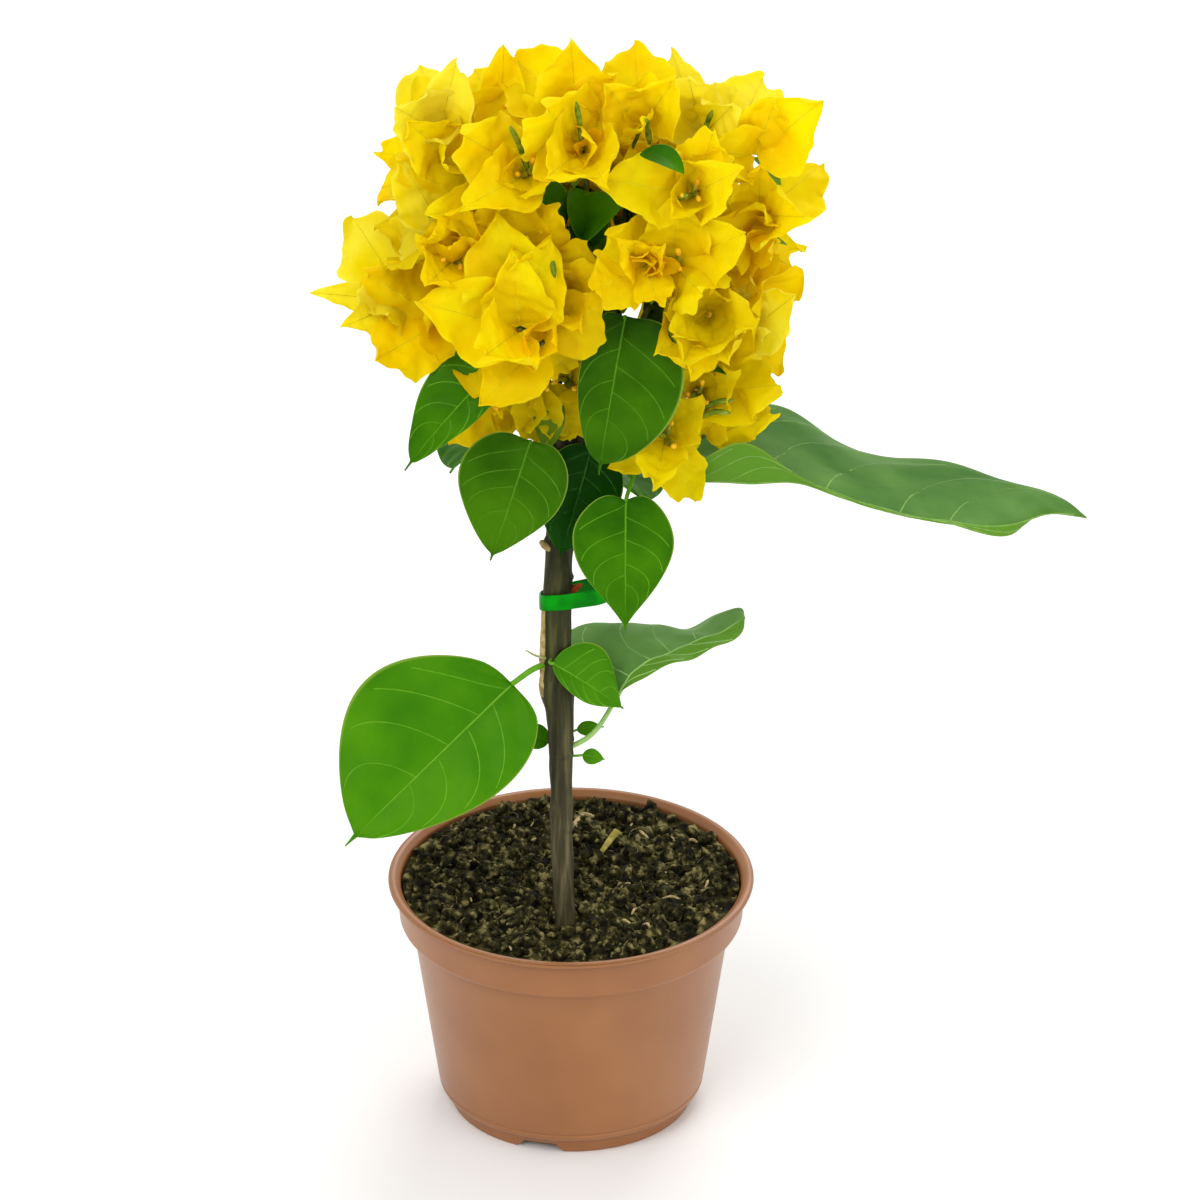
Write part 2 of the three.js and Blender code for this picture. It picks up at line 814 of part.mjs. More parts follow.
// Every bloom of the crown: those of the list, then the golden-angle places that are free,
// each given to the mass whose heart lies most nearly in its direction.
function allBlooms() {
  const blooms = MASSES.flatMap((mass) =>
    mass.blooms.map((numbers) => ({ mass: mass.name, numbers, at: onCrown(...numbers.slice(0, 3)) })),
  );
  for (let k = 0; k < FILL.places; k++) {
    const sine = 1 - ((k + 0.5) / FILL.places) * (1 - FILL.lowest);
    const lift = THREE.MathUtils.radToDeg(Math.asin(sine));
    const bearing = (k * FILL.turn) % 360;
    const share = FILL.reach * (0.94 + 0.12 * draw(k, 1));
    const at = onCrown(bearing, lift, share);
    if (blooms.some((bloom) => bloom.at.distanceTo(at) < FILL.apart)) continue;
    const direction = heading(bearing, lift);
    const nearest = MASSES.reduce((best, mass) => {
      const aim = heading(mass.heart[0], mass.heart[1]).dot(direction);
      return aim > best.aim ? { aim, name: mass.name } : best;
    }, { aim: -2, name: "" });
    const numbers = [
      bearing,
      lift,
      share,
      bearing + FILL.sway * (draw(k, 2) - 0.5),
      THREE.MathUtils.clamp(lift + FILL.sway * (draw(k, 3) - 0.5), ...FILL.faces),
      360 * draw(k, 4),
      FILL.size + FILL.spread * (draw(k, 5) - 0.5),
      BRACT.open + BLOOM.jitter * (draw(k, 6) - 0.5),
    ];
    blooms.push({ mass: nearest.name, numbers, at });
  }
  return blooms;
}

// The seat of a bloom's bracts, drawn out to the length of its flowers.
function flowerKnot({ at, numbers }, axis) {
  const geometry = new THREE.OctahedronGeometry(BLOOM.seat);
  const tall = (BLOOM.flowers * numbers[6]) / BLOOM.seat;
  const position = geometry.attributes.position;
  for (let i = 0; i < position.count; i++) {
    const y = position.getY(i);
    position.setY(i, y > 0 ? y * tall : y);
  }
  geometry.applyQuaternion(new THREE.Quaternion().setFromUnitVectors(new THREE.Vector3(0, 1, 0), axis));
  return solidOf(geometry.translate(...at.toArray()));
}

// A bloom's twig, from a place on its mass's stem, with the seat of its bracts. None where there is no room.
function growTwig(bloom, seed, { start, heart }) {
  const { axis } = bloomPieces(bloom, seed);
  const behind = bloom.at.clone().addScaledVector(axis, -TWIG.behind);
  const knot = flowerKnot(bloom, axis);
  for (const place of [THREE.MathUtils.lerp(...TWIG.first, draw(seed, 30)), ...TWIG.others]) {
    const root = start.clone().lerp(heart, place);
    const line = [root, root.clone().lerp(behind, TWIG.bend), bloom.at];
    const twig = limb(line, taper(TWIG.rootRadius, TWIG.tipRadius), 3, 2);
    const isJoined = (other) => other.owner === bloom.mass;
    if (isClear(twig, isJoined) && isClear(knot, isJoined)) return [twig, knot];
  }
  return [];
}

// A bloom's bracts. One that would touch a neighbour closes up and shrinks step by step, first to stand
// clear of every other bloom, then at least of the other masses, or else is skipped.
function growBracts(bloom, seed) {
  const joined = [(other) => other.bloom === bloom, (other) => other.owner === bloom.mass];
  const tries = joined.flatMap((isJoined) => FITTING.map(([share, close]) => ({ isJoined, share, close })));
  const solids = [];
  for (const bract of bloomPieces(bloom, seed).bracts) {
    for (const { isJoined, share, close } of tries) {
      const along = bract.along.clone().applyAxisAngle(bract.hinge, degrees(-close));
      const face = bract.face.clone().applyAxisAngle(bract.hinge, degrees(-close));
      const solid = bractSolid(bloom.at, { along, face, size: bract.size * share, rows: BRACT.rows });
      if (!isClear(solid, isJoined)) continue;
      solids.push(solid);
      break;
    }
  }
  return solids;
}

// Small leaves low on the twigs of a mass, looking out between the bracts.
function sprigs(mass, seed, stemStart, heart) {
  const solids = [];
  for (let i = 0; i < SPRIG.count; i++) {
    const base = stemStart.clone().lerp(heart, SPRIG.first + SPRIG.step * i);
    const [bearing, lift] = mass.heart;
    const rise = THREE.MathUtils.lerp(...SPRIG.lifts, draw(seed, 50 + i));
    const along = heading(bearing + SPRIG.sway * (draw(seed, 40 + i) - 0.5), lift + rise);
    const size = SPRIG.size * (0.8 + 0.4 * draw(seed, 60 + i));
    const solid = blade({
      base,
      tip: base.clone().addScaledVector(along, size),
      face: UP,
      width: size * SPRIG.wide,
      thick: BRACT.thick,
      full: 0.6,
      taper: 0.7,
      lobe: 0,
      near: 0.15,
      far: 0.15,
      arch: 0.8,
      rows: 2,
    });
    if (isClear(solid, (other) => other.owner === mass.name)) solids.push(solid);
  }
  return solids;
}

function leafSolid(leaf) {
  const stalk = limb(
    [point(leaf.from), point(leaf.through), point(leaf.base)],
    taper(LEAF.stalkRadius * 1.15, LEAF.stalkRadius * 0.8),
    3,
    4,
  );
  const [base, tip] = [point(leaf.base), point(leaf.tip)];
  const sunk = base.clone().lerp(tip, -1.2 / base.distanceTo(tip));
  const { width, full, taper: slim, lobe, near, far, arch } = leaf;
  const surface = blade({
    base: sunk,
    tip,
    face: heading(...leaf.face),
    width,
    thick: LEAF.thick,
    full,
    taper: slim,
    lobe,
    near,
    far,
    arch,
    rows: LEAF.rows,
  });
  return stalk.add(surface);
}

// A leaf at the back: out from the stem on its stalk, then down.
function backLeaf({ name, bearing, height, out, drop, size, width }) {
  const root = stemAt(height);
  const away = heading(bearing, 0);
  const base = root.clone().addScaledVector(away, out).addScaledVector(UP, out * 0.25);
  const fall = Math.asin(drop / size);
  const tip = base.clone().addScaledVector(away, size * Math.cos(fall)).addScaledVector(UP, -drop);
  return {
    name,
    from: root.toArray(),
    through: root.clone().lerp(base, 0.5).addScaledVector(UP, 3).toArray(),
    base: base.toArray(),
    tip: tip.toArray(),
    face: [bearing, 90 - THREE.MathUtils.radToDeg(fall)],
    width,
    full: 0.44,
    taper: 0.68,
    lobe: 0.04,
    near: 0.08,
    far: 0.08,
    arch: 2,
  };
}

const plant = new THREE.Group();
plant.add(meshOf("pot", claim("pot", pot()), FINISH.terracotta));
plant.add(meshOf("soil", claim("soil", soil()), FINISH.peat));
plant.add(meshOf("stem", claim("stem", stem()), FINISH.bark));
plant.add(meshOf("tie", claim("tie", tie()), FINISH.tie));

// Limbs leave the stem in the order of the list, each cut clear of what was there before it.
const limbs = [stem(CLEAR), stem(CLEAR).translate([0, 0, CLEAR])];
const ends = new Map();
for (const mass of MASSES) {
  const name = mass.name.replace("blossom", "bough");
  const solid = whole(bough(mass).subtract(Manifold.union(limbs)));
  limbs.push(bough(mass, CLEAR));
  plant.add(meshOf(name, claim(name, solid), FINISH.bark));
  const { end, heart } = boughLine(mass);
  ends.set(mass.name, { start: end.clone().lerp(heart, CLEAR / end.distanceTo(heart)), heart });
}

for (const leaf of [...LEAVES, ...BACK_LEAVES.map(backLeaf)]) {
  const solid = whole(leafSolid(leaf).subtract(Manifold.union(limbs)));
  plant.add(meshOf(leaf.name, claim(leaf.name, solid), FINISH.leaf));
}

// Blossom: each mass's own stem first, then all twigs, then the bracts, then the small leaves.
const growth = new Map();
for (const mass of MASSES) {
  const { start, heart } = ends.get(mass.name);
  const middle = start.clone().lerp(heart, 0.5);
  const core = limb([start, middle, heart], taper(BOUGH.tipRadius, TWIG.rootRadius), 5, 2);
  growth.set(mass.name, [claim(mass.name, core)]);
}
function keep(bloom, solids) {
  growth.get(bloom.mass).push(...solids.map((solid) => claim(bloom.mass, solid, bloom)));
  return solids.length > 0;
}
const blooms = allBlooms();
const grown = blooms.map((bloom, index) => keep(bloom, growTwig(bloom, index + 1, ends.get(bloom.mass))));
blooms.forEach((bloom, index) => {
  if (grown[index]) keep(bloom, growBracts(bloom, index + 1));
});
MASSES.forEach((mass, index) => {
  const { start, heart } = ends.get(mass.name);
  growth.get(mass.name).push(...sprigs(mass, index + 1, start, heart));
  plant.add(meshOf(mass.name, Manifold.union(growth.get(mass.name)), FINISH.bract));
});

export default plant;
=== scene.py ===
"""A small yellow bougainvillea grown on one bare stem in a nursery pot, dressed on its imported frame.

Sizes are millimetres until a mesh is made, and the front looks towards -Y. A bearing is an angle
round +Z, 0 at the front and 90 at +X, and a lift is an angle above the horizon, both in degrees.
What varies is drawn by a fixed rule from a seed, so every run gives the same plant.
"""

from __future__ import annotations

import json
import logging
import math
from dataclasses import dataclass, field
from enum import Enum
from functools import partial
from typing import Any, Callable, ClassVar

import bpy
import numpy as np
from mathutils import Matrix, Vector

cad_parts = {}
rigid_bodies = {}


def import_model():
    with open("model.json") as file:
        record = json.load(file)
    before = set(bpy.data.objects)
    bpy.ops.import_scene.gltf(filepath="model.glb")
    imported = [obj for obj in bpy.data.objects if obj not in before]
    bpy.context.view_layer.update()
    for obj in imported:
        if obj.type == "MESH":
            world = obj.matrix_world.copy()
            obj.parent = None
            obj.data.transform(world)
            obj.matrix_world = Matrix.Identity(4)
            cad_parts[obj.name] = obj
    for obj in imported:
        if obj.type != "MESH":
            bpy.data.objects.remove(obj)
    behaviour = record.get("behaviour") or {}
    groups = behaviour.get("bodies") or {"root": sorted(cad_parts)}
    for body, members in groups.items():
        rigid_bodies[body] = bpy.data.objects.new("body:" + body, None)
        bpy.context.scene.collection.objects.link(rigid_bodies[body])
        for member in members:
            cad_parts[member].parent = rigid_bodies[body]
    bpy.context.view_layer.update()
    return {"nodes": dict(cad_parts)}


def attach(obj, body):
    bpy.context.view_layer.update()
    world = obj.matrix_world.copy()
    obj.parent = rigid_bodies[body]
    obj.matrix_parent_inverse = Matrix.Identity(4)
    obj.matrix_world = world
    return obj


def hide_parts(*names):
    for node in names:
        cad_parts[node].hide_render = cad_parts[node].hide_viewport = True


LOG = logging.getLogger("bougainvillea")
MM = 0.001
TURN = 2 * math.pi
UP = np.array([0.0, 0.0, 1.0])
BODY = "root"
Array = np.ndarray
Faces = tuple[np.ndarray, np.ndarray]
Spot = tuple[float, float, float]
Adder = Callable[..., bpy.types.Node]


def srgb(code: str) -> tuple[float, float, float, float]:
    """Turns an sRGB hex colour into linear light.

    Args:
        code: the colour as "#rrggbb".

    Returns:
        Red, green, blue and an alpha of 1.
    """
    parts = [int(code[i : i + 2], 16) / 255 for i in (1, 3, 5)]
    linear = [c / 12.92 if c <= 0.04045 else ((c + 0.055) / 1.055) ** 2.4 for c in parts]
    return (linear[0], linear[1], linear[2], 1.0)


def per_metre(millimetres: float) -> float:
    """The scale of a texture whose features are this many millimetres across."""
    return 1 / (millimetres * MM)


def add_node(tree: bpy.types.NodeTree, kind: str, settings: dict[str, Any] | None = None,
             stops: list[tuple[float, str]] | None = None, **inputs: Any) -> bpy.types.Node:
    """Adds a node to a material.

    Args:
        tree: the material's node tree.
        kind: the node's type name without "ShaderNode".
        settings: properties of the node itself.
        stops: places and sRGB colours of a colour ramp.
        inputs: an input's name (spaces as underscores) or its place (as "at0") with its value, the socket
            that feeds it, or the node whose first output does.

    Returns:
        The node.
    """
    made = tree.nodes.new("ShaderNode" + kind)
    for key, value in (settings or {}).items():
        setattr(made, key, value)
    for index, (place, code) in enumerate(stops or []):
        elements = made.color_ramp.elements
        element = elements[index] if index < len(elements) else elements.new(place)
        element.position, element.color = place, srgb(code)
    for key, value in inputs.items():
        by_place = key[:2] == "at" and key[2:].isdigit()
        socket = made.inputs[int(key[2:]) if by_place else key.replace("_", " ")]
        source = value.outputs[0] if isinstance(value, bpy.types.Node) else value
        if isinstance(source, bpy.types.NodeSocket):
            tree.links.new(source, socket)
        else:
            socket.default_value = source
    return made


class LeafShade(Enum):
    """Greens of the leaves: dark, light and their ribs, as sRGB colours."""

    FRESH = ("#397e06", "#56980a", "#68a020")
    MID = ("#225a00", "#4c8c02", "#58960e")
    DEEP = ("#1f4c00", "#467c02", "#50860c")
    SHADED = ("#0a3602", "#164e06", "#2f6a1a")
    DULL = ("#3c7020", "#669442", "#7ea646")
    # For the low right leaf: its grey-green, made paler as partly painted light and grey sheen for a blade
    # turned away from the lamps.
    GREY = ("#5a8a3e", "#8cb868", "#9cc468")
    YOUNG = ("#4f7a12", "#7a9a1e", "#93ae3c")


class BractShade(Enum):
    """Bract yellows: deep, light and the thin rim, painted light through its edge, as sRGB colours."""

    # Which yellow a bloom takes is painted light and shade: LEMON paler where lit, GOLDEN and OLIVE deeper in
    # shade.
    SUNNY = ("#fbe500", "#fdf206", "#fdf31c")
    GOLDEN = ("#f9df00", "#fceb00", "#fced0c")
    LEMON = ("#fbef0c", "#fcf44e", "#fdf660")
    OLIVE = ("#f0dd00", "#f6e800", "#f6ea1c")
    HEART = ("#fbdc00", "#fce800", "#fcec30")


class Finish:
    """A surface finish. Each kind builds its material once and gives it a plain name."""

    made: ClassVar[dict[str, bpy.types.Material]] = {}
    title: str

    def material(self) -> bpy.types.Material:
        """Makes the finish's material when it is first asked for.

        Returns:
            The material.
        """
        if self.title not in Finish.made:
            made = Finish.made[self.title] = bpy.data.materials.new(self.title)
            made.use_nodes = True
            made.node_tree.nodes.clear()
            add = partial(add_node, made.node_tree)
            add("OutputMaterial", Surface=self.surface(add))
        return Finish.made[self.title]

    def surface(self, add: Adder) -> bpy.types.Node:
        """Adds the material's nodes and returns the last shader."""
        raise NotImplementedError


@dataclass(frozen=True)
class MouldedPlastic(Finish):
    """Polypropylene, injection moulded: satin, one even terracotta whose fine grain breaks its shine."""

    title: str = "polypropylene moulded terracotta"
    dark: str = "#8f5a31"
    light: str = "#9b6538"
    roughness: float = 0.34
    mottle: float = 34
    grain: float = 0.9

    def surface(self, add: Adder) -> bpy.types.Node:
        """A slow mottle between two close shades, and grain in the bump and the roughness.

        Args:
            add: adds a node to the material.

        Returns:
            The shader.
        """
        place = add("TexCoord").outputs["Object"]
        mottle = add("TexNoise", Vector=place, Scale=per_metre(self.mottle), Detail=2)
        colour = add("ValToRGB", stops=[(0.3, self.dark), (0.7, self.light)], Fac=mottle)
        grain = add("TexNoise", Vector=place, Scale=per_metre(self.grain), Detail=2)
        low, high = self.roughness - 0.05, self.roughness + 0.09
        spread = add("MapRange", Value=grain, To_Min=low, To_Max=high)
        bump = add("Bump", Height=grain, Strength=0.12, Distance=0.12 * MM)
        return add("BsdfPrincipled", Base_Color=colour, Roughness=spread, IOR=1.49, Normal=bump)


@dataclass(frozen=True)
class MoistPeat(Finish):
    """Peat with bark dust, moist: almost black, broken up by brown crumbs and pale specks."""

    title: str = "peat moist"
    crumb: float = 5
    patch: float = 13
    colours: tuple[str, ...] = ("#070600", "#1f1c08", "#3f3b1b", "#857a4e")
    places: tuple[float, ...] = (0.58, 0.71, 0.82, 0.93)

    def surface(self, add: Adder) -> bpy.types.Node:
        """Fine noise picks dark, brown or pale crumbs, and slow noise wets some patches.

        Args:
            add: adds a node to the material.

        Returns:
            The shader.
        """
        place = add("TexCoord").outputs["Object"]
        fine = add("TexNoise", Vector=place, Scale=per_metre(self.crumb), Detail=5)
        slow = add("TexNoise", Vector=place, Scale=per_metre(self.patch), Detail=2)
        mixed = add("Math", {"operation": "MULTIPLY_ADD"}, at0=slow, at1=0.5, at2=fine)
        colour = add("ValToRGB", stops=list(zip(self.places, self.colours)), Fac=mixed)
        bump = add("Bump", Height=fine, Strength=0.7, Distance=0.8 * MM)
        return add("BsdfPrincipled", Base_Color=colour, Roughness=0.9, Specular_IOR_Level=0.12, Normal=bump)


@dataclass(frozen=True)
class Bark(Finish):
    """Bark, grown: streaks along the wood, grey-brown below and greener where the wood is young."""

    title: str = "bark grown grey-brown"
    low: tuple[str, ...] = ("#241f0f", "#453f28", "#6c664a")
    high: tuple[str, ...] = ("#181a07", "#2f3013", "#4d4c25")
    places: tuple[float, ...] = (0.27, 0.5, 0.74)
    streak: float = 1.9
    green_from: float = 105
    green_to: float = 170

    def surface(self, add: Adder) -> bpy.types.Node:
        """Noise drawn out along Z gives the streaks, and the height mixes the old bark into the young.

        Args:
            add: adds a node to the material.

        Returns:
            The shader.
        """
        place = add("TexCoord").outputs["Object"]
        drawn = add("Mapping", Vector=place, Scale=(1, 1, 0.05))
        streaks = add("TexNoise", Vector=drawn, Scale=per_metre(self.streak), Detail=4)
        old, young = [
            add("ValToRGB", stops=list(zip(self.places, colours)), Fac=streaks)
            for colours in (self.low, self.high)
        ]
        height = add("SeparateXYZ", at0=place).outputs[2]
        share = add("MapRange", Value=height, From_Min=self.green_from * MM, From_Max=self.green_to * MM)
        colour = add("Mix", {"data_type": "RGBA"}, at0=share, at6=old, at7=young).outputs[2]
        bump = add("Bump", Height=streaks, Strength=0.6, Distance=0.35 * MM)
        return add("BsdfPrincipled", Base_Color=colour, Roughness=0.66, Specular_IOR_Level=0.2, Normal=bump)


@dataclass(frozen=True)
class PlainGrown(Finish):
    """A small grown part in two close shades, such as a green twig, a flower tube or healed wood."""

    title: str
    dark: str
    light: str
    roughness: float = 0.5
    feature: float = 3

    def surface(self, add: Adder) -> bpy.types.Node:
        """Noise between the two shades, with a slight bump.

        Args:
            add: adds a node to the material.

        Returns:
            The shader.
        """
        place = add("TexCoord").outputs["Object"]
        soft = add("TexNoise", Vector=place, Scale=per_metre(self.feature), Detail=3)
        colour = add("ValToRGB", stops=[(0.35, self.dark), (0.65, self.light)], Fac=soft)
        bump = add("Bump", Height=soft, Strength=0.25, Distance=0.2 * MM)
        return add("BsdfPrincipled", Base_Color=colour, Roughness=self.roughness, Specular_IOR_Level=0.14,
                   Normal=bump)


@dataclass(frozen=True)
class GlossyBand(Finish):
    """PVC, extruded as a flat tie: an even green with a wet gloss."""

    title: str = "pvc extruded green"
    dark: str = "#007408"
    light: str = "#00920a"
    mottle: float = 7
    dents: float = 2.5

    def surface(self, add: Adder) -> bpy.types.Node:
        """Two greens in a slow mottle under a smooth skin with slight dents.

        Args:
            add: adds a node to the material.

        Returns:
            The shader.
        """
        place = add("TexCoord").outputs["Object"]
        slow = add("TexNoise", Vector=place, Scale=per_metre(self.mottle), Detail=1)
        colour = add("ValToRGB", stops=[(0.4, self.dark), (0.6, self.light)], Fac=slow)
        dents = add("TexNoise", Vector=place, Scale=per_metre(self.dents), Detail=1)
        bump = add("Bump", Height=dents, Strength=0.15, Distance=0.15 * MM)
        return add("BsdfPrincipled", Base_Color=colour, Roughness=0.22, IOR=1.53, Specular_IOR_Level=0.06,
                   Normal=bump)


@dataclass(frozen=True)
class WaxyLeaf(Finish):
    """A green leaf: waxy skin over soft tissue that lets some light through, with a thin pale rim."""

    shade: LeafShade = LeafShade.MID
    fold: float = 0
    rim: str = "#86a83a"
    turned: str = "#6ca02e"
    through: str = "#6fae10"
    glow: float = 0.24
    blotch: float = 24
    pores: float = 0.9
    # The base darker than the tip: partly the leaf's own colour, partly painted shade.
    base_shade_and_paling: float = 0.2

    @property
    def title(self) -> str:  # type: ignore[override]
        """The material's name, by shade, and folded where one half is turned over."""
        return "leaf waxy " + self.shade.name.lower() + (" folded" if self.fold else "")

    def surface(self, add: Adder) -> bpy.types.Node:
        """Blotches between two greens, paler towards the tip, the rim by the way out, and light from behind.

        The darker base is partly the leaf's own colour and partly painted shade like that which the crown
        casts.

        A half that is turned over, beyond the fold, shows its paler side.

        Args:
            add: adds a node to the material.

        Returns:
            The shader.
        """
        dark, light, _ = self.shade.value
        place = add("TexCoord")
        soft, skin = [
            add("TexNoise", Vector=place.outputs["Object"], Scale=per_metre(size), Detail=3)
            for size in (self.blotch, self.pores)
        ]
        spot = add("SeparateXYZ", at0=place.outputs["UV"])
        across = spot.outputs[1]
        # Darker towards the base: partly the leaf's own colour, partly painted shade like the crown's.
        paler = add("Math", {"operation": "MULTIPLY_ADD"}, at0=spot, at1=self.base_shade_and_paling, at2=soft)
        body: Any = add("ValToRGB", stops=[(0.4, dark), (0.8, light)], Fac=paler)
        if self.fold:
            share = add("MapRange", Value=across, From_Min=self.fold - 0.05,
                             From_Max=self.fold + 0.02, To_Min=0.8, To_Max=0.0)
            body = add("Mix", {"data_type": "RGBA"}, at0=share, at6=body, at7=srgb(self.turned)).outputs[2]
        outward = add("Math", {"operation": "ABSOLUTE"}, at0=across)
        edge = add("MapRange", Value=outward, From_Min=0.965, From_Max=0.99)
        colour = add("Mix", {"data_type": "RGBA"}, at0=edge, at6=body, at7=srgb(self.rim)).outputs[2]
        bump = add("Bump", Height=skin, Strength=0.22, Distance=0.14 * MM)
        waxy = add("BsdfPrincipled", Base_Color=colour, Roughness=0.42, IOR=1.42, Specular_IOR_Level=0.07,
                   Normal=bump)
        behind = add("BsdfTranslucent", Color=srgb(self.through))
        return add("MixShader", Fac=self.glow, at1=waxy, at2=behind)


@dataclass(frozen=True)
class PaperyBract(Finish):
    """A bougainvillea bract: dry papery tissue, finely veined, that glows where light comes through."""

    shade: BractShade = BractShade.SUNNY
    glow: float = 0.55
    vein_pairs: float = 7
    vein_slant: float = 0.34
    blush: float = 16
    crepe: float = 2.4

    @property
    def title(self) -> str:  # type: ignore[override]
        """The material's name, by shade."""
        return "bract papery " + self.shade.name.lower()

    def surface(self, add: Adder) -> bpy.types.Node:
        """Slow noise with a paler rim, side veins by the place on the bract, and light from behind.

        The paler rim is painted light, the glow of light through the bract's thin edge.

        Args:
            add: adds a node to the material.

        Returns:
            The shader.
        """
        deep, light, rim = self.shade.value
        place = add("TexCoord")
        soft = add("TexNoise", Vector=place.outputs["Object"], Scale=per_metre(self.blush), Detail=2)
        body = add("ValToRGB", stops=[(0.3, deep), (0.66, light)], Fac=soft)
        spot = add("SeparateXYZ", at0=place.outputs["UV"])
        outward = add("Math", {"operation": "ABSOLUTE"}, at0=spot.outputs[1])
        # The paler rim is painted light, the glow of light shining through the bract's thin edge.
        edge = add("MapRange", Value=outward, From_Min=0.86, From_Max=1.0)
        colour = add("Mix", {"data_type": "RGBA"}, at0=edge, at6=body, at7=srgb(rim)).outputs[2]
        slanted = add("Math", {"operation": "MULTIPLY_ADD"}, at0=outward, at1=-self.vein_slant, at2=spot)
        phase = add("Math", {"operation": "MULTIPLY"}, at0=slanted, at1=self.vein_pairs)
        wave = add("Math", {"operation": "PINGPONG"}, at0=phase, at1=0.5)
        vein = add("MapRange", Value=wave, From_Min=0.0, From_Max=0.09, To_Min=1.0, To_Max=0.0)
        crepe = add("TexNoise", Vector=place.outputs["Object"], Scale=per_metre(self.crepe), Detail=3)
        height = add("Math", {"operation": "MULTIPLY_ADD"}, at0=vein, at1=0.5, at2=crepe)
        bump = add("Bump", Height=height, Strength=0.22, Distance=0.25 * MM)
        paper = add("BsdfPrincipled", Base_Color=colour, Roughness=0.6, IOR=1.4, Specular_IOR_Level=0.12,
                    Normal=bump)
        behind = add("BsdfTranslucent", Color=colour, Normal=bump)
        return add("MixShader", Fac=self.glow, at1=paper, at2=behind)


@dataclass(frozen=True)
class PaleFloor(Finish):
    """Painted board, rolled matt: a plain pale studio floor that only takes the shadow."""

    title: str = "floor painted pale"

    def surface(self, add: Adder) -> bpy.types.Node:
        """One matt near-white."""
        return add("BsdfPrincipled", Base_Color=srgb("#f4f4f3"), Roughness=0.9)


def draw(seed: Any, index: Any) -> Any:
    """A draw between 0 and 1: the fraction of a large sine, the same each time for a seed and an index."""
    wave = np.sin(np.asarray(seed, float) * 127.1 + np.asarray(index, float) * 311.7) * 43758.5453
    return wave - np.floor(wave)


def unit(vectors: Array) -> Array:
    """Vectors divided by their lengths."""
    return vectors / np.maximum(np.linalg.norm(vectors, axis=-1, keepdims=True), 1e-12)


def heading(bearing: Any, lift: Any) -> Array:
    """Unit vectors from bearings and lifts in degrees."""
    turn, rise = np.radians(bearing), np.radians(lift)
    return np.stack([np.cos(rise) * np.sin(turn), -np.cos(rise) * np.cos(turn), np.sin(rise) + 0 * turn], -1)


def facing(bearing: float, lift: float) -> Array:
    """Right, up and ahead for what faces this way, one to a row, as one who looks at it sees them."""
    ahead = heading(bearing, lift)
    return np.array([np.cross(unit(UP - ahead * ahead[2]), ahead), unit(UP - ahead * ahead[2]), ahead])


def between(limits: tuple[float, float], share: Any) -> Any:
    """The value this share of the way from one limit to the other."""
    return limits[0] + (limits[1] - limits[0]) * share


def ripple(points: Array, wavelength: float, seed: int, waves: int = 7) -> Array:
    """Soft noise about 0: the sum of a few sines with drawn directions, lengths and phases.

    Args:
        points: places, in millimetres, with x, y and z last.
        wavelength: the middle of the wavelengths.
        seed: picks the sines.
        waves: how many sines.

    Returns:
        A value for each place, mostly between -1 and 1.
    """
    index = np.arange(waves)
    rise = 2 * draw(seed, index) - 1
    bearing = TURN * draw(seed, index + 20)
    flat = np.sqrt(1 - rise**2)
    directions = np.stack([flat * np.cos(bearing), flat * np.sin(bearing), rise], axis=-1)
    lengths = wavelength * (0.65 + 0.7 * draw(seed, index + 40))
    phases = TURN * draw(seed, index + 60)
    return np.sin(points @ directions.T * (TURN / lengths) + phases).sum(-1) / math.sqrt(waves)


def smooth_lines(controls: Any, count: int) -> Array:
    """Centripetal Catmull-Rom lines: each span is a cubic whose end slopes come from its neighbours.

    Args:
        controls: (lines, points, 3) that the lines pass through.
        count: how many points to give, at even steps of length.

    Returns:
        (lines, count, 3) points.
    """
    controls = np.asarray(controls, float)
    steps = np.linalg.norm(np.diff(controls, axis=1), axis=2)[..., None] ** 0.5
    slopes = np.diff(controls, axis=1) / steps
    inner = (slopes[:, :-1] * steps[:, 1:] + slopes[:, 1:] * steps[:, :-1]) / (steps[:, 1:] + steps[:, :-1])
    ends = np.concatenate([slopes[:, :1], inner, slopes[:, -1:]], axis=1)
    t = np.linspace(0, 1, 13)[:-1, None]
    start, stop = controls[:, :-1, None], controls[:, 1:, None]
    leave, arrive, step = ends[:, :-1, None], ends[:, 1:, None], steps[:, :, None]
    spans = (
        (2 * t**3 - 3 * t**2 + 1) * start
        + (t**3 - 2 * t**2 + t) * step * leave
        + (3 * t**2 - 2 * t**3) * stop
        + (t**3 - t**2) * step * arrive
    )
    dense = np.concatenate([spans.reshape(len(controls), -1, 3), controls[:, -1:]], axis=1)
    return np.stack([even_steps(line, count) for line in dense])


def even_steps(line: Array, count: int) -> Array:
    """Resamples a line: each coordinate is read off at even steps of the length walked so far.

    Args:
        line: (points, 3).
        count: how many points to give.

    Returns:
        (count, 3) points.
    """
    length = np.concatenate([[0], np.cumsum(np.linalg.norm(np.diff(line, axis=0), axis=1))])
    wanted = np.linspace(0, length[-1], count)
    return np.stack([np.interp(wanted, length, line[:, k]) for k in range(3)], axis=-1)


def end_steps(rows: int) -> Array:
    """How far along a blade its rows are: half a cosine's steps, closer together at both ends."""
    return 0.5 - 0.5 * np.cos(math.pi * np.arange(1, rows + 1) / (rows + 1))


def rounded(corners: list[Spot], steps: int = 5) -> Array:
    """A profile whose corners are rounded: each is a curve that starts and ends its radius away from it.

    Args:
        corners: (radius from the axis, height, rounding) of each corner, in order.
        steps: points on each rounded corner.

    Returns:
        (points, 2) of radius and height.
    """
    spots = np.array(corners)[:, :2]
    points = [spots[:1]]
    t = np.linspace(0, 1, steps)[:, None]
    for before, at, after, (_, _, reach) in zip(spots, spots[1:], spots[2:], corners[1:]):
        start, stop = at + unit(before - at) * reach, at + unit(after - at) * reach
        points.append((1 - t) ** 2 * start + 2 * t * (1 - t) * at + t**2 * stop)
    return np.concatenate(points + [spots[-1:]])


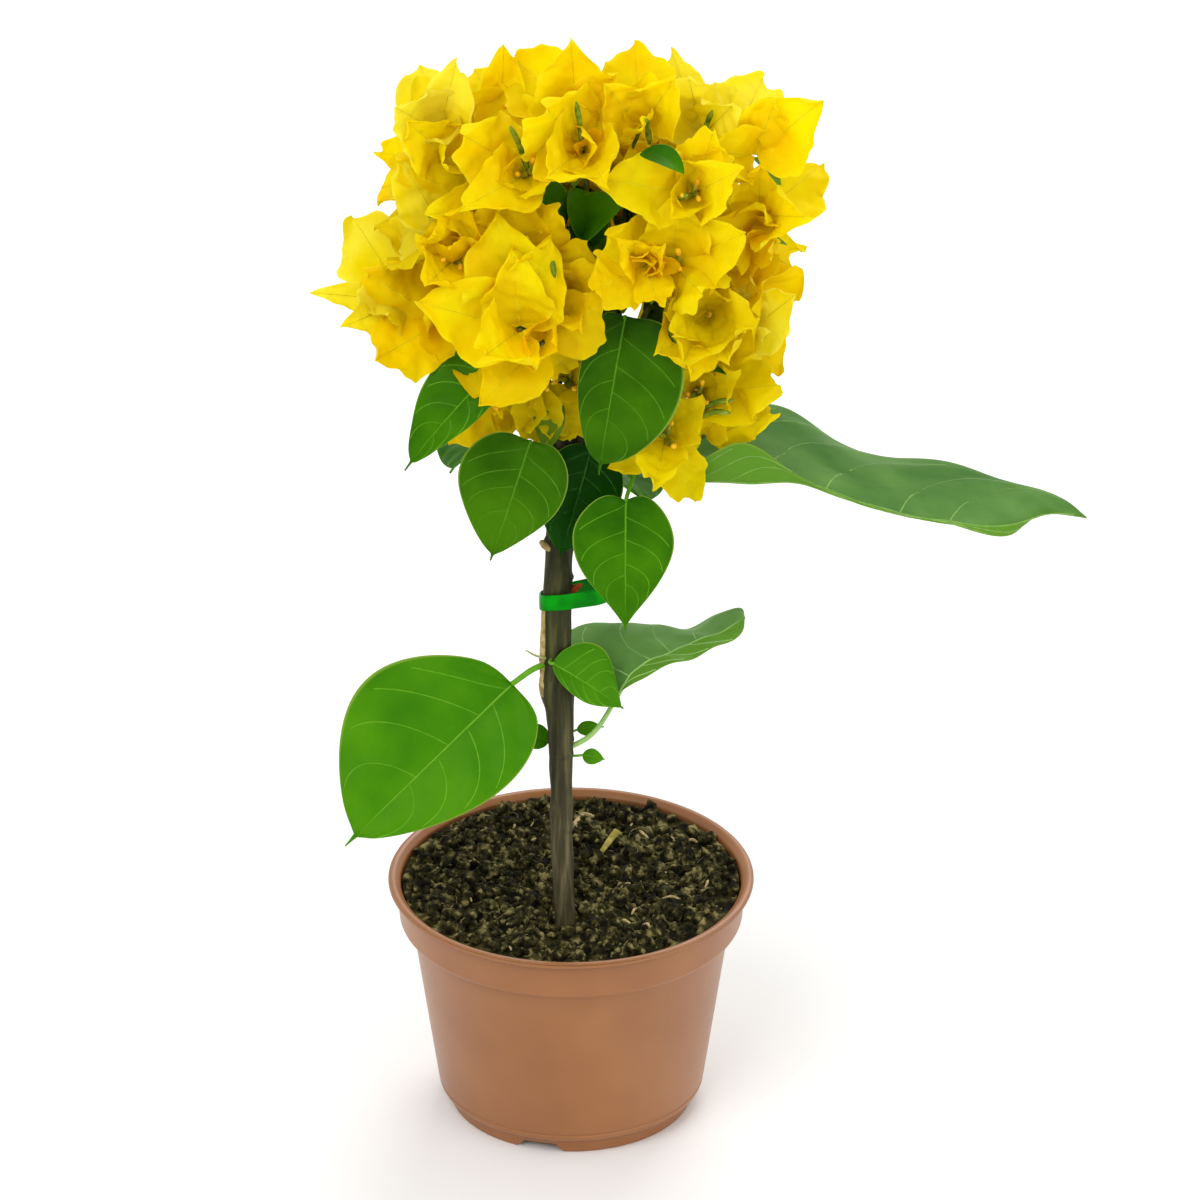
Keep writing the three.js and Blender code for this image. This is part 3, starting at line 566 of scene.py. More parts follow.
def tube_faces(rings: int, sides: int) -> Faces:
    """Faces of a closed tube: a quad between neighbours of two rings, and a fan at each end.

    Args:
        rings: how many rings of points.
        sides: points on each, with one more point at each end after them.

    Returns:
        Triangles and quads.
    """
    ring, side = np.meshgrid(np.arange(rings - 1), np.arange(sides), indexing="ij")
    after = (side + 1) % sides
    low, high = ring * sides, (ring + 1) * sides
    quads = np.stack([low + side, low + after, high + after, high + side], axis=-1).reshape(-1, 4)
    one = np.arange(sides)
    two, last = (one + 1) % sides, (rings - 1) * sides
    first_fan = np.stack([np.full(sides, rings * sides), two, one], axis=-1)
    last_fan = np.stack([np.full(sides, rings * sides + 1), last + one, last + two], axis=-1)
    return np.concatenate([first_fan, last_fan]), quads


def tubes(lines: Array, radii: Array, sides: int) -> Array:
    """Points of closed tubes: a ring round each point of a line, square to it, and a point past each end.

    Args:
        lines: (lines, rings, 3) middle lines.
        radii: one for each ring, each line's ring, or each side of each line's ring.
        sides: points round each ring.

    Returns:
        (lines, rings * sides + 2, 3) points, in the order of tube_faces.
    """
    count, rings, _ = lines.shape
    ahead = unit(np.gradient(lines, axis=1))
    level = np.eye(3)[np.argmin(np.abs(lines[:, -1] - lines[:, 0]), axis=1)][:, None]
    right = unit(np.cross(level, ahead))
    up = np.cross(ahead, right)
    angle = np.arange(sides) * TURN / sides
    radii = radii if radii.ndim == 3 else radii[..., None]
    radii = np.broadcast_to(radii, (count, rings, radii.shape[-1]))
    out = right[:, :, None] * np.cos(angle)[:, None] + up[:, :, None] * np.sin(angle)[:, None]
    ring = lines[:, :, None] + radii[..., None] * out
    cap = 0.35 * radii.mean(-1)[..., None]
    ends = np.stack([lines[:, 0] - ahead[:, 0] * cap[:, 0], lines[:, -1] + ahead[:, -1] * cap[:, -1]], axis=1)
    return np.concatenate([ring.reshape(count, rings * sides, 3), ends], axis=1)


def blade_faces(rows: int, columns: int) -> Faces:
    """Faces of a thin closed blade, whose points are a top grid, the bottom's inner points, base and tip.

    Args:
        rows: points along it.
        columns: points across it.

    Returns:
        Triangles and quads.
    """
    top = np.arange(rows * columns).reshape(rows, columns)
    bottom = top.copy()
    bottom[:, 1:-1] = rows * columns + np.arange(rows * (columns - 2)).reshape(rows, columns - 2)
    base = np.full(columns - 1, rows * columns + rows * (columns - 2))
    quads = [
        np.stack([top[:-1, :-1], top[1:, :-1], top[1:, 1:], top[:-1, 1:]], axis=-1),
        np.stack([bottom[:-1, 1:], bottom[1:, 1:], bottom[1:, :-1], bottom[:-1, :-1]], axis=-1),
    ]
    fans = [
        np.stack([base, top[0, :-1], top[0, 1:]], axis=-1),
        np.stack([base, bottom[0, 1:], bottom[0, :-1]], axis=-1),
        np.stack([base + 1, top[-1, 1:], top[-1, :-1]], axis=-1),
        np.stack([base + 1, bottom[-1, :-1], bottom[-1, 1:]], axis=-1),
    ]
    return np.concatenate(fans), np.concatenate(quads).reshape(-1, 4)


def blades(middle: Array, base: Array, tip: Array, thick: float) -> Array:
    """Points of thin closed blades: a middle sheet set off along its normals, thinnest at its border.

    Args:
        middle: (blades, rows, columns, 3) middle sheets.
        base: (blades, 3) points before the first row.
        tip: (blades, 3) points after the last row.
        thick: thickness in the middle.

    Returns:
        (blades, points, 3) in the order of blade_faces.
    """
    count, _, columns, _ = middle.shape
    normal = unit(np.cross(np.gradient(middle, axis=1), np.gradient(middle, axis=2)))
    off = normal * (thick / 2 * np.sqrt(1 - np.linspace(-1, 1, columns) ** 2)[:, None])
    grids = [grid.reshape(count, -1, 3) for grid in (middle + off, (middle - off)[:, :, 1:-1])]
    return np.concatenate([*grids, base[:, None], tip[:, None]], axis=1)


def blade_map(along: Array, across: Array) -> Array:
    """UV of a blade's points, ordered as blade_faces: how far along (0 to 1) and how far out (-1 to 1)."""
    grid = np.stack(np.meshgrid(along, across, indexing="ij"), axis=-1)
    return np.concatenate([grid.reshape(-1, 2), grid[:, 1:-1].reshape(-1, 2), [[0, 0], [1, 0]]])


def blade_rim(rows: int, columns: int) -> Array:
    """Marks the points of a blade's border, in the order of blade_faces."""
    border = np.isin(np.arange(rows * columns) % columns, (0, columns - 1))
    return np.concatenate([border, np.zeros(rows * (columns - 2), bool), np.ones(2, bool)])


def in_scene(name: str, data: bpy.types.ID) -> bpy.types.Object:
    """Makes an object of its data and links it into the scene.

    Args:
        name: its name.
        data: its mesh, light or camera.

    Returns:
        The object.
    """
    made = bpy.data.objects.new(name, data)
    bpy.context.scene.collection.objects.link(made)
    return made


@dataclass
class Shape:
    """Points and faces gathered for one piece, in millimetres."""

    points: list[Array] = field(default_factory=list)
    triangles: list[Array] = field(default_factory=list)
    quads: list[Array] = field(default_factory=list)
    maps: list[Array] = field(default_factory=list)
    rims: list[Array] = field(default_factory=list)
    count: int = 0

    def add(self, points: Array, faces: Faces, uv: Array | None = None, rim: Array | None = None) -> Shape:
        """Adds copies of a form that share their faces.

        Args:
            points: (copies, points, 3).
            faces: the form's triangles and quads.
            uv: (points, 2) for each copy, where the finish follows the surface.
            rim: (points,) marks those whose edges between them stay sharp.

        Returns:
            The shape itself.
        """
        copies, size, _ = points.shape
        shift = self.count + size * np.arange(copies)[:, None, None]
        self.points.append(points.reshape(-1, 3))
        self.triangles.append((faces[0] + shift).reshape(-1, 3))
        self.quads.append((faces[1] + shift).reshape(-1, 4))
        self.maps.append(np.tile(np.zeros((size, 2)) if uv is None else uv, (copies, 1)))
        self.rims.append(np.tile(np.zeros(size, bool) if rim is None else rim, copies))
        self.count += copies * size
        return self

    def add_tubes(self, lines: Array, radii: Any, sides: int) -> Shape:
        """Adds closed tubes round (lines, rings, 3) points, with the radii that tubes takes."""
        return self.add(tubes(lines, np.asarray(radii), sides), tube_faces(lines.shape[1], sides))

    def add_turned(self, radius: Array, height: Array) -> Shape:
        """Adds a form turned round +Z: each ring is a circle of its radius, closed on the axis at both ends.

        Args:
            radius: (rings,).
            height: (rings, sides).

        Returns:
            The shape itself.
        """
        sides = height.shape[1]
        angle = np.arange(sides) * TURN / sides
        rings = np.stack([radius[:, None] * np.cos(angle), radius[:, None] * np.sin(angle), height], axis=-1)
        ends = [[0, 0, height[0].mean()], [0, 0, height[-1].mean()]]
        return self.add(np.concatenate([rings.reshape(-1, 3), ends])[None], tube_faces(len(radius), sides))

    def add_blades(self, middle: Array, base: Array, tip: Array, thick: float, t: Array, s: Array) -> Shape:
        """Adds closed blades with their map and rim.

        Args:
            middle: (blades, rows, columns, 3) middle sheets.
            base: (blades, 3) points before the first row.
            tip: (blades, 3) points after the last row.
            thick: thickness in the middle.
            t: how far along the rows are.
            s: how far out the columns are.

        Returns:
            The shape itself.
        """
        points, size = blades(middle, base, tip, thick), (len(t), len(s))
        return self.add(points, blade_faces(*size), blade_map(t, s), blade_rim(*size))

    def piece(self, name: str, finish: Finish, slot: str, *replaces: str) -> None:
        """Makes the mesh object, in metres, riding the plant's body.

        Args:
            name: the piece's name.
            finish: its finish.
            slot: the record's material slot; not used.
            replaces: CAD nodes that it stands for.
        """
        points = np.concatenate(self.points) * MM
        triangles, quads = np.concatenate(self.triangles), np.concatenate(self.quads)
        corners = np.concatenate([triangles.ravel(), quads.ravel()]).astype(np.int32)
        starts = [3 * np.arange(len(triangles)), 3 * len(triangles) + 4 * np.arange(len(quads))]
        mesh = bpy.data.meshes.new(name)
        mesh.vertices.add(len(points))
        mesh.vertices.foreach_set("co", points.astype(np.float32).ravel())
        mesh.loops.add(len(corners))
        mesh.loops.foreach_set("vertex_index", corners)
        mesh.polygons.add(len(triangles) + len(quads))
        mesh.polygons.foreach_set("loop_start", np.concatenate(starts).astype(np.int32))
        mesh.polygons.foreach_set("use_smooth", np.ones(len(mesh.polygons), bool))
        layer = mesh.uv_layers.new(name="UVMap")
        layer.data.foreach_set("uv", np.concatenate(self.maps)[corners].astype(np.float32).ravel())
        mesh.update(calc_edges=True)
        pairs = np.empty(2 * len(mesh.edges), np.int32)
        mesh.edges.foreach_get("vertices", pairs)
        sharp = np.concatenate(self.rims)[pairs.reshape(-1, 2)].all(axis=1)
        mesh.attributes.new("sharp_edge", "BOOLEAN", "EDGE").data.foreach_set("value", sharp)
        mesh.materials.append(finish.material())
        made = in_scene(name, mesh)
        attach(made, BODY)
        if replaces:
            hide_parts(*replaces)
        LOG.info("%s: %d triangles", name, len(triangles) + 2 * len(quads))


@dataclass
class NurseryPot:
    """The pot: lip, collar band, tapered body and a foot ring with notches that let water out."""

    height: float = 82
    lip_radius: float = 60
    lip_thick: float = 2
    band_top: float = 57
    band_foot: float = 56.2
    band_height: float = 14.5
    body_top: float = 52.3
    body_foot: float = 43.6
    foot_radius: float = 39.8
    foot_height: float = 4.2
    foot_flare: float = 0.5
    foot_wall: float = 1.8
    chamfer: float = 2.4
    inside_step: float = 1.6
    floor_thick: float = 1.6
    wall: float = 1.3
    pad_radius: float = 9
    recess: float = 3.2
    groove: float = 0.35
    groove_up: float = 1.2
    notches: int = 3
    first_notch: float = -15
    notch_wide: float = 23
    notch_high: float = 2.9
    notch_slope: float = 3
    sides: int = 240

    def profile(self) -> Array:
        """The lathe profile, from the middle of the underside out, up the outside and down the inside.

        Returns:
            (points, 2) of radius and height.
        """
        top, band = self.height, self.height - self.band_height
        floor, under_lip = self.recess + self.floor_thick, self.height - self.lip_thick
        ring, bevel = self.foot_radius - self.foot_wall, self.foot_height + self.chamfer
        body, groove = self.body_foot, self.foot_height + self.chamfer + self.groove_up
        underside = [(0.01, 0, 0), (self.pad_radius, 0, 0.4), (self.pad_radius + 1, self.recess, 0.5),
                     (ring - 0.2, self.recess, 0.5), (ring, 0, 0.5)]
        outside = [(self.foot_radius, 0, 0.6), (self.foot_radius + self.foot_flare, self.foot_height, 0.6),
                   (body - 0.3, bevel - 0.3, 0.9), (body + 0.05, groove, 0.3),
                   (body - self.groove + 0.1, groove + 0.5, 0.2), (body + 0.22, groove + 1.1, 0.3),
                   (self.body_top, band - 0.2, 0.9), (self.band_foot - 0.5, band - 0.1, 0.5),
                   (self.band_foot, band + 0.9, 0.5), (self.band_top, under_lip - 0.7, 0.6)]
        lip = [(self.lip_radius - 0.6, under_lip, 0.5), (self.lip_radius, top - self.lip_thick / 2, 0.7),
               (self.lip_radius - 0.8, top, 0.6), (self.lip_radius - 2.3, top, 0.6)]
        inside = [(self.band_top - self.wall, top - self.inside_step, 0.7),
                  (self.band_foot - self.wall, band + 0.5, 0.6), (self.body_top - self.wall, band - 0.5, 0.5),
                  (body - self.wall, bevel, 0.8), (self.foot_radius - self.foot_flare, floor, 0.5),
                  (0.01, floor, 0)]
        return rounded(underside + outside + lip + inside)

    def notch_lift(self, angle: Array) -> Array:
        """How far the foot ring is cut up: the notch's height inside it, sloping down to nothing at its ends.

        Args:
            angle: angles round the axis.

        Returns:
            The lift at each angle.
        """
        middles = np.radians(self.first_notch - 90 + np.arange(self.notches) * 360 / self.notches)
        away = np.abs((angle - middles[:, None] + math.pi) % TURN - math.pi).min(axis=0)
        past = (math.radians(self.notch_wide / 2) - away) * self.foot_radius
        return self.notch_high * np.clip(past / self.notch_slope, 0, 1)

    def build(self) -> None:
        """Turns the profile round the axis and cuts the notches by lifting the ring's lowest points."""
        radius, height = self.profile().T
        lift = self.notch_lift(np.arange(self.sides) * TURN / self.sides)
        z = np.repeat(height[:, None], self.sides, axis=1)
        cut = (radius > self.foot_radius - self.foot_wall - 0.6)[:, None] & (z < self.recess) & (lift > 0)
        z = np.where(cut, lift + z * (1 - lift / self.recess), z)
        Shape().add_turned(radius, z).piece("nursery_pot", MouldedPlastic(), "pot", "pot")


@dataclass
class PeatBed:
    """Peat in the pot: a cloddy top, and crumbs, fibres, a pale root, bits and a straw that lie on it."""

    pot: NurseryPot
    top: float = 79.2
    hollow: tuple[float, float] = (-1.6, -25.0)
    hollow_deep: float = 2.4
    hollow_reach: float = 7.5
    gap: float = 0.3
    rings: int = 160
    sides: int = 300
    crumbs: int = 2200
    fibres: int = 90
    bits: int = 26
    root: tuple = ((0.7, 30.3), (2.0, 37.7), (4.3, 42.4), (7.4, 40.6))
    straw: tuple = ((9.4, 15.8, 0), (11.2, 18, 1.7), (13.2, 20.6, 3.4), (15.2, 23, 4.8))

    def rim(self) -> float:
        """The bed's radius at its top."""
        return self.pot.band_top - self.pot.wall - 2 * self.gap

    def level(self, x: Array, y: Array) -> Array:
        """Height of the top: clods of four sizes that fade at the wall, less a bell-shaped hollow.

        Args:
            x: places to the right.
            y: places to the back.

        Returns:
            Their heights.
        """
        spot = np.stack([x, y, 0 * x], axis=-1)
        lumps, fine = 0.6 - np.abs(ripple(spot, 7, 7)), 0.5 * np.abs(ripple(spot, 3.4, 11, 9))
        clods = 0.6 * ripple(spot, 21, 3) + 0.6 * ripple(spot, 9, 5) + 1.1 * lumps
        away = np.hypot(x - self.hollow[0], y - self.hollow[1])
        sunk = self.hollow_deep * np.exp(-((away / self.hollow_reach) ** 2))
        edge = np.clip((self.rim() - np.hypot(x, y)) / 3, 0, 1)
        return self.top + 0.35 + (clods + fine) * edge - sunk

    def build(self) -> None:
        """Makes the bed and what lies on it, each with its own finish."""
        self.bed().piece("peat_bed", MoistPeat(), "soil", "soil")
        for name, shape, finish in (
            ("peat_crumbs", self.loose_crumbs(), MoistPeat("peat crumbs moist", 2.4, 7)),
            ("peat_fibres", self.loose_fibres(), PlainGrown("peat fibre dry", "#35301a", "#8d8058", 0.9, 2)),
            ("peat_root_and_bits", self.root_and_bits(),
             PlainGrown("root bleached", "#8d7a50", "#c4ae80", 0.8, 1.5)),
            ("peat_straw", self.bent_straw(), PlainGrown("straw weathered", "#98883c", "#c6b862", 0.7, 3)),
        ):
            shape.piece(name, finish, "soil")

    def bed(self) -> Shape:
        """The body of the peat: up the pot's inner wall, then in over the top.

        Returns:
            The shape.
        """
        pot, gap = self.pot, self.gap
        band = pot.height - pot.band_height + gap
        bottom, inner = pot.recess + pot.floor_thick + gap, pot.wall + gap
        side = np.array([
            [0.01, bottom], [pot.foot_radius - pot.foot_flare - gap, bottom],
            [pot.body_foot - inner, pot.foot_height + pot.chamfer + gap],
            [pot.body_top - inner, band - 0.5], [pot.band_foot - inner, band + 0.5],
            [self.rim(), self.top - 0.6],
        ])
        across = np.linspace(self.rim() - 0.2, 0.01, self.rings)[:, None]
        angle = np.arange(self.sides) * TURN / self.sides
        over = self.level(across * np.cos(angle), across * np.sin(angle))
        height = np.concatenate([np.repeat(side[:, 1:], self.sides, axis=1), over])
        return Shape().add_turned(np.concatenate([side[:, 0], across[:, 0]]), height)

    def scattered(self, count: int, seed: int, inside: float) -> tuple[Array, Array]:
        """Drawn places on the top, as even as a radius by a square root gives.

        Args:
            count: how many.
            seed: picks them.
            inside: how far from the wall they stay.

        Returns:
            Their x and y.
        """
        index = np.arange(count)
        radius, bearing = (self.rim() - inside) * np.sqrt(draw(seed, index)), TURN * draw(seed + 1, index)
        return radius * np.cos(bearing), radius * np.sin(bearing)

    def loose_crumbs(self) -> Shape:
        """Crumbs: short five-sided lumps, thick in the middle, turned at random and sunk a little.

        Returns:
            The shape.
        """
        index = np.arange(self.crumbs)
        x, y = self.scattered(self.crumbs, 17, 1.5)
        size = 0.6 + 2 * draw(19, index) ** 2.6
        spot = np.stack([x, y, self.level(x, y) + 0.25 * size], axis=-1)
        along = heading(360 * draw(20, index), 70 * draw(21, index) - 35) * size[:, None]
        lines = spot[:, None] + along[:, None] * np.array([-0.7, 0.1, 0.8])[:, None]
        girth = np.stack([0.55 + 0 * size, 0.9 + 0.4 * draw(22, index), 0.5 + 0 * size], axis=1)
        uneven = 0.6 + 0.8 * draw(index[:, None, None] + 0.5, np.arange(15).reshape(1, 3, 5))
        return Shape().add_tubes(lines, girth[..., None] * size[:, None, None] * uneven, 5)

    def loose_fibres(self) -> Shape:
        """Fibres: thin bent threads that lie on the clods.

        Returns:
            The shape.
        """
        index = np.arange(self.fibres)
        x, y = self.scattered(self.fibres, 31, 5)
        length = 3 + 8 * draw(33, index) ** 2
        bearing = 360 * draw(34, index)
        reach = heading(bearing, 0) * length[:, None] / 2
        bend = heading(bearing + 90, 0) * (length * (draw(35, index) - 0.5) * 0.6)[:, None]
        spot = np.stack([x, y, 0 * x], axis=-1)
        controls = np.stack([spot - reach, spot + bend, spot + reach], axis=1)
        out = np.hypot(controls[..., 0], controls[..., 1])
        controls[..., :2] *= np.minimum(1, (self.rim() - 0.6) / out)[..., None]
        controls[..., 2] = self.level(controls[..., 0], controls[..., 1]) + 0.25
        controls[:, 1, 2] += 0.8 * draw(36, index)
        radius = (0.1 + 0.16 * draw(37, index))[:, None] * np.array([0.7, 1, 1, 1, 0.8, 0.4])
        return Shape().add_tubes(smooth_lines(controls, 6), radius, 4)

    def root_and_bits(self) -> Shape:
        """A bleached root that lies behind the stem, and pale bits bowed up from the clods.

        Returns:
            The shape.
        """
        root = np.array(self.root)
        top = np.full((4, 1), self.level(*root.T).max() + 0.7)
        lines = smooth_lines([np.concatenate([root, top], axis=1)], 18)
        shape = Shape().add_tubes(lines, np.linspace(1.35, 0.75, 18), 9)
        index = np.arange(self.bits)
        x, y = self.scattered(self.bits, 71, 6)
        bearing = 360 * draw(73, index)
        way = heading(bearing, 0) * (1.2 + 1.8 * draw(74, index))[:, None]
        bow = heading(bearing + 90, 0) * (1.6 * (draw(75, index) - 0.5))[:, None]
        spot = np.stack([x, y, self.level(x, y) + 0.5], axis=-1)
        arcs = smooth_lines(np.stack([spot - way, spot + bow + 0.7 * UP, spot + way], axis=1), 7)
        girth = (0.3 + 0.3 * draw(76, index))[:, None] * np.array([0.5, 0.9, 1, 1.1, 1, 0.8, 0.4])
        return shape.add_tubes(arcs, girth, 6)

    def bent_straw(self) -> Shape:
        """A short flat straw, one end in the peat and the other standing clear of it.

        Returns:
            The shape.
        """
        line = np.array(self.straw) + self.level(*np.array(self.straw[0][:2])) * UP
        flat = 1 + 0.35 * np.cos(np.arange(8) * TURN / 8 * 2)
        radius = np.linspace(0.65, 1.15, 10)[None, :, None] * flat
        return Shape().add_tubes(smooth_lines([line], 10), radius, 8)


@dataclass
class Stem:
    """The stem: its bark's relief, wound, stub and side bud. A scar is a height and an angle round it."""

    line: tuple = (
        (-1.6, -25, 75.5), (-2.8, -22.5, 103), (-3, -19, 135), (-3.4, -17, 151), (-4.6, -15.6, 163),
        (-4.6, -14, 177), (-4.3, -12.4, 191), (-3.5, -10, 209), (-1.4, -6, 234), (1, -3, 256),
    )
    radii: tuple = (3.4, 3.4, 3.5, 3.7, 4.6, 4.7, 4.5, 4.2, 3.7, 2.6)
    flare: float = 1.3
    flare_reach: float = 2.5
    graft_height: float = 160
    graft_reach: float = 5
    graft_proud: float = 0.22
    scars: tuple = (
        (112, 70), (137.5, 20), (142, 150), (169.5, 250), (198, 120), (209.5, 262), (224, 40), (236, 200),
    )
    scar_reach: float = 1.1
    wound: tuple = ((157, 4.7), (163, 4.9), (177, 4.75), (190, 4.5))
    stub: tuple = ((-3.0, -2.0, -0.5), (-4.6, -2.9, 0.6), (-5.8, -3.5, 2.4))
    stub_height: float = 209
    bud: tuple = ((-0.8, -11.5, 192.6), (1.2, -12, 193.6), (3.6, -12.4, 195.4))
    bud_radii: tuple = (0.9, 1.1, 1.3, 1.35, 1.3, 1.2, 1.0, 0.8, 0.5)
    rings: int = 430
    sides: int = 64

    def at_height(self, height: float) -> Array:
        """Where the middle line passes a height."""
        line = smooth_lines([self.line], 400)[0]
        return np.array([np.interp(height, line[:, 2], line[:, k]) for k in range(3)])

    def relief(self, line: Array) -> Array:
        """Radius with its bark: streaks drawn out along the stem, slow swellings, and ridges at old leaves.

        Args:
            line: (rings, 3) middle line.

        Returns:
            (rings, sides) radii.
        """
        angle = np.arange(self.sides) * TURN / self.sides
        height = line[:, 2][:, None]
        place = np.linspace(0, len(self.radii) - 1, len(line))
        plain = np.interp(place, np.arange(len(self.radii)), self.radii)[:, None] * np.ones_like(angle)
        spot = np.stack([plain * np.cos(angle), plain * np.sin(angle), height / 9 + 0 * angle], axis=-1)
        streaks = 0.13 * ripple(spot, 1.3, 41, 9) + 0.1 * ripple(spot, 2.6, 43)
        slow = 0.16 * ripple(spot * np.array([1, 1, 4]), 13, 45)
        lobes = 0.7 + 0.3 * np.cos(3 * angle)
        foot = self.flare * np.exp(-(height - self.line[0][2]) / self.flare_reach) * lobes
        swell = 1 + self.graft_proud * np.exp(-(((height - self.graft_height) / self.graft_reach) ** 2))
        ridges = np.zeros_like(plain)
        for scar, bearing in self.scars:
            side = 0.5 + 0.5 * np.cos(angle - math.radians(bearing))
            ridges += 0.75 * side**3 * np.exp(-(((height - scar) / self.scar_reach) ** 2))
        return plain * swell + foot + streaks + slow + ridges

    def build(self) -> None:
        """Makes the stem's bark, its healed wound with the dead stub, and a side bud."""
        line = smooth_lines([self.line], self.rings)
        bark = Shape().add_tubes(line, self.relief(line[0])[None], self.sides)
        bark.piece("stem_bark", Bark(), "bark", "stem")
        pale = PlainGrown("wood healed pale", "#86703e", "#bfab74", 0.7, 2)
        self.healed().piece("stem_wound", pale, "bark")
        bud = Shape().add_tubes(smooth_lines([self.bud], 9), self.bud_radii, 9)
        bud.piece("side_bud", PlainGrown("bud scales rust", "#7c2c06", "#a4481a", 0.6, 1.5), "bark")

    def healed(self) -> Shape:
        """A pale lip of healed wood up the left of the graft, ending in a bump, and a brown stub above.

        Returns:
            The shape.
        """
        low, high = self.wound[0][0], self.wound[-1][0]
        heights = np.linspace(low, high, 26)
        radius = np.interp(heights, *np.array(self.wound).T)[:, None]
        left = np.stack([self.at_height(height) for height in heights]) - radius * np.array([0.86, 0.5, 0])
        girth = 1.15 * np.sin(np.linspace(0.25, math.pi - 0.25, 26)) ** 0.6
        girth[1:5] += 0.7
        stub = self.at_height(self.stub_height) + np.array(self.stub)
        shape = Shape().add_tubes(left[None], girth, 12)
        return shape.add_tubes(smooth_lines([stub], 8), np.linspace(1.5, 0.9, 8), 10)


@dataclass
class PlantTie:
    """A flat glossy band that loops round the stem, lower behind, and crosses itself on the right."""

    middle: Spot = (1.35, -10.95, 190.9)
    half: tuple[float, float] = (11.05, 7.05)
    squareness: float = 0.62
    wide: float = 5.6
    thick: float = 0.9
    dip: float = -3
    lean: float = 0.2
    tail: tuple = ((9.8, -3.4, 2.7), (12.3, -0.6, 2.6), (12.4, 2.6, 1.9), (10.2, 4.6, 1.0))
    sides: int = 16

    def build(self) -> None:
        """Carries the band's section round the loop and along its tail, which lies round it to the back."""
        shape = Shape()
        for line, closed in ((self.loop(), True), (smooth_lines([self.tail], 24)[0], False)):
            shape.add(*self.band(line + np.array(self.middle), closed))
        shape.piece("plant_tie", GlossyBand(), "tie", "tie")

    def loop(self) -> Array:
        """The loop: a rounded oblong, tilted so that its back hangs lower and its right side rises.

        Returns:
            (points, 3) from the tie's middle.
        """
        angle = np.arange(96) * TURN / 96
        x, y = [
            half * np.sign(way) * np.abs(way) ** self.squareness
            for half, way in zip(self.half, (np.cos(angle), np.sin(angle)))
        ]
        rise = self.dip * y / (2 * self.half[1]) + self.lean * x + 0.5 * np.sin(2 * angle)
        return np.stack([x, y, rise], axis=-1)

    def band(self, line: Array, closed: bool) -> tuple[Array, Faces]:
        """A flat rounded section along a line, standing on its edge.

        Args:
            line: (points, 3).
            closed: whether the line's end meets its start.

        Returns:
            The points as one copy, and the faces.
        """
        ahead = np.roll(line, -1, axis=0) - np.roll(line, 1, axis=0) if closed else np.gradient(line, axis=0)
        out = unit(np.cross(ahead, UP))
        angle = np.arange(self.sides) * TURN / self.sides
        flat = np.sign(np.cos(angle)) * np.abs(np.cos(angle)) ** 0.6 * self.thick / 2
        tall = np.sign(np.sin(angle)) * np.abs(np.sin(angle)) ** 0.45 * self.wide / 2
        ring = (line[:, None] + out[:, None] * flat[:, None] + UP * tall[:, None]).reshape(1, -1, 3)
        fans, quads = tube_faces(len(line), self.sides)
        if not closed:
            return np.concatenate([ring, [[line[0], line[-1]]]], axis=1), (fans, quads)
        one = np.arange(self.sides)
        last, two = (len(line) - 1) * self.sides, (one + 1) % self.sides
        seam = np.stack([last + one, last + two, two, one], axis=-1)
        return ring, (np.zeros((0, 3), int), np.concatenate([quads, seam]))


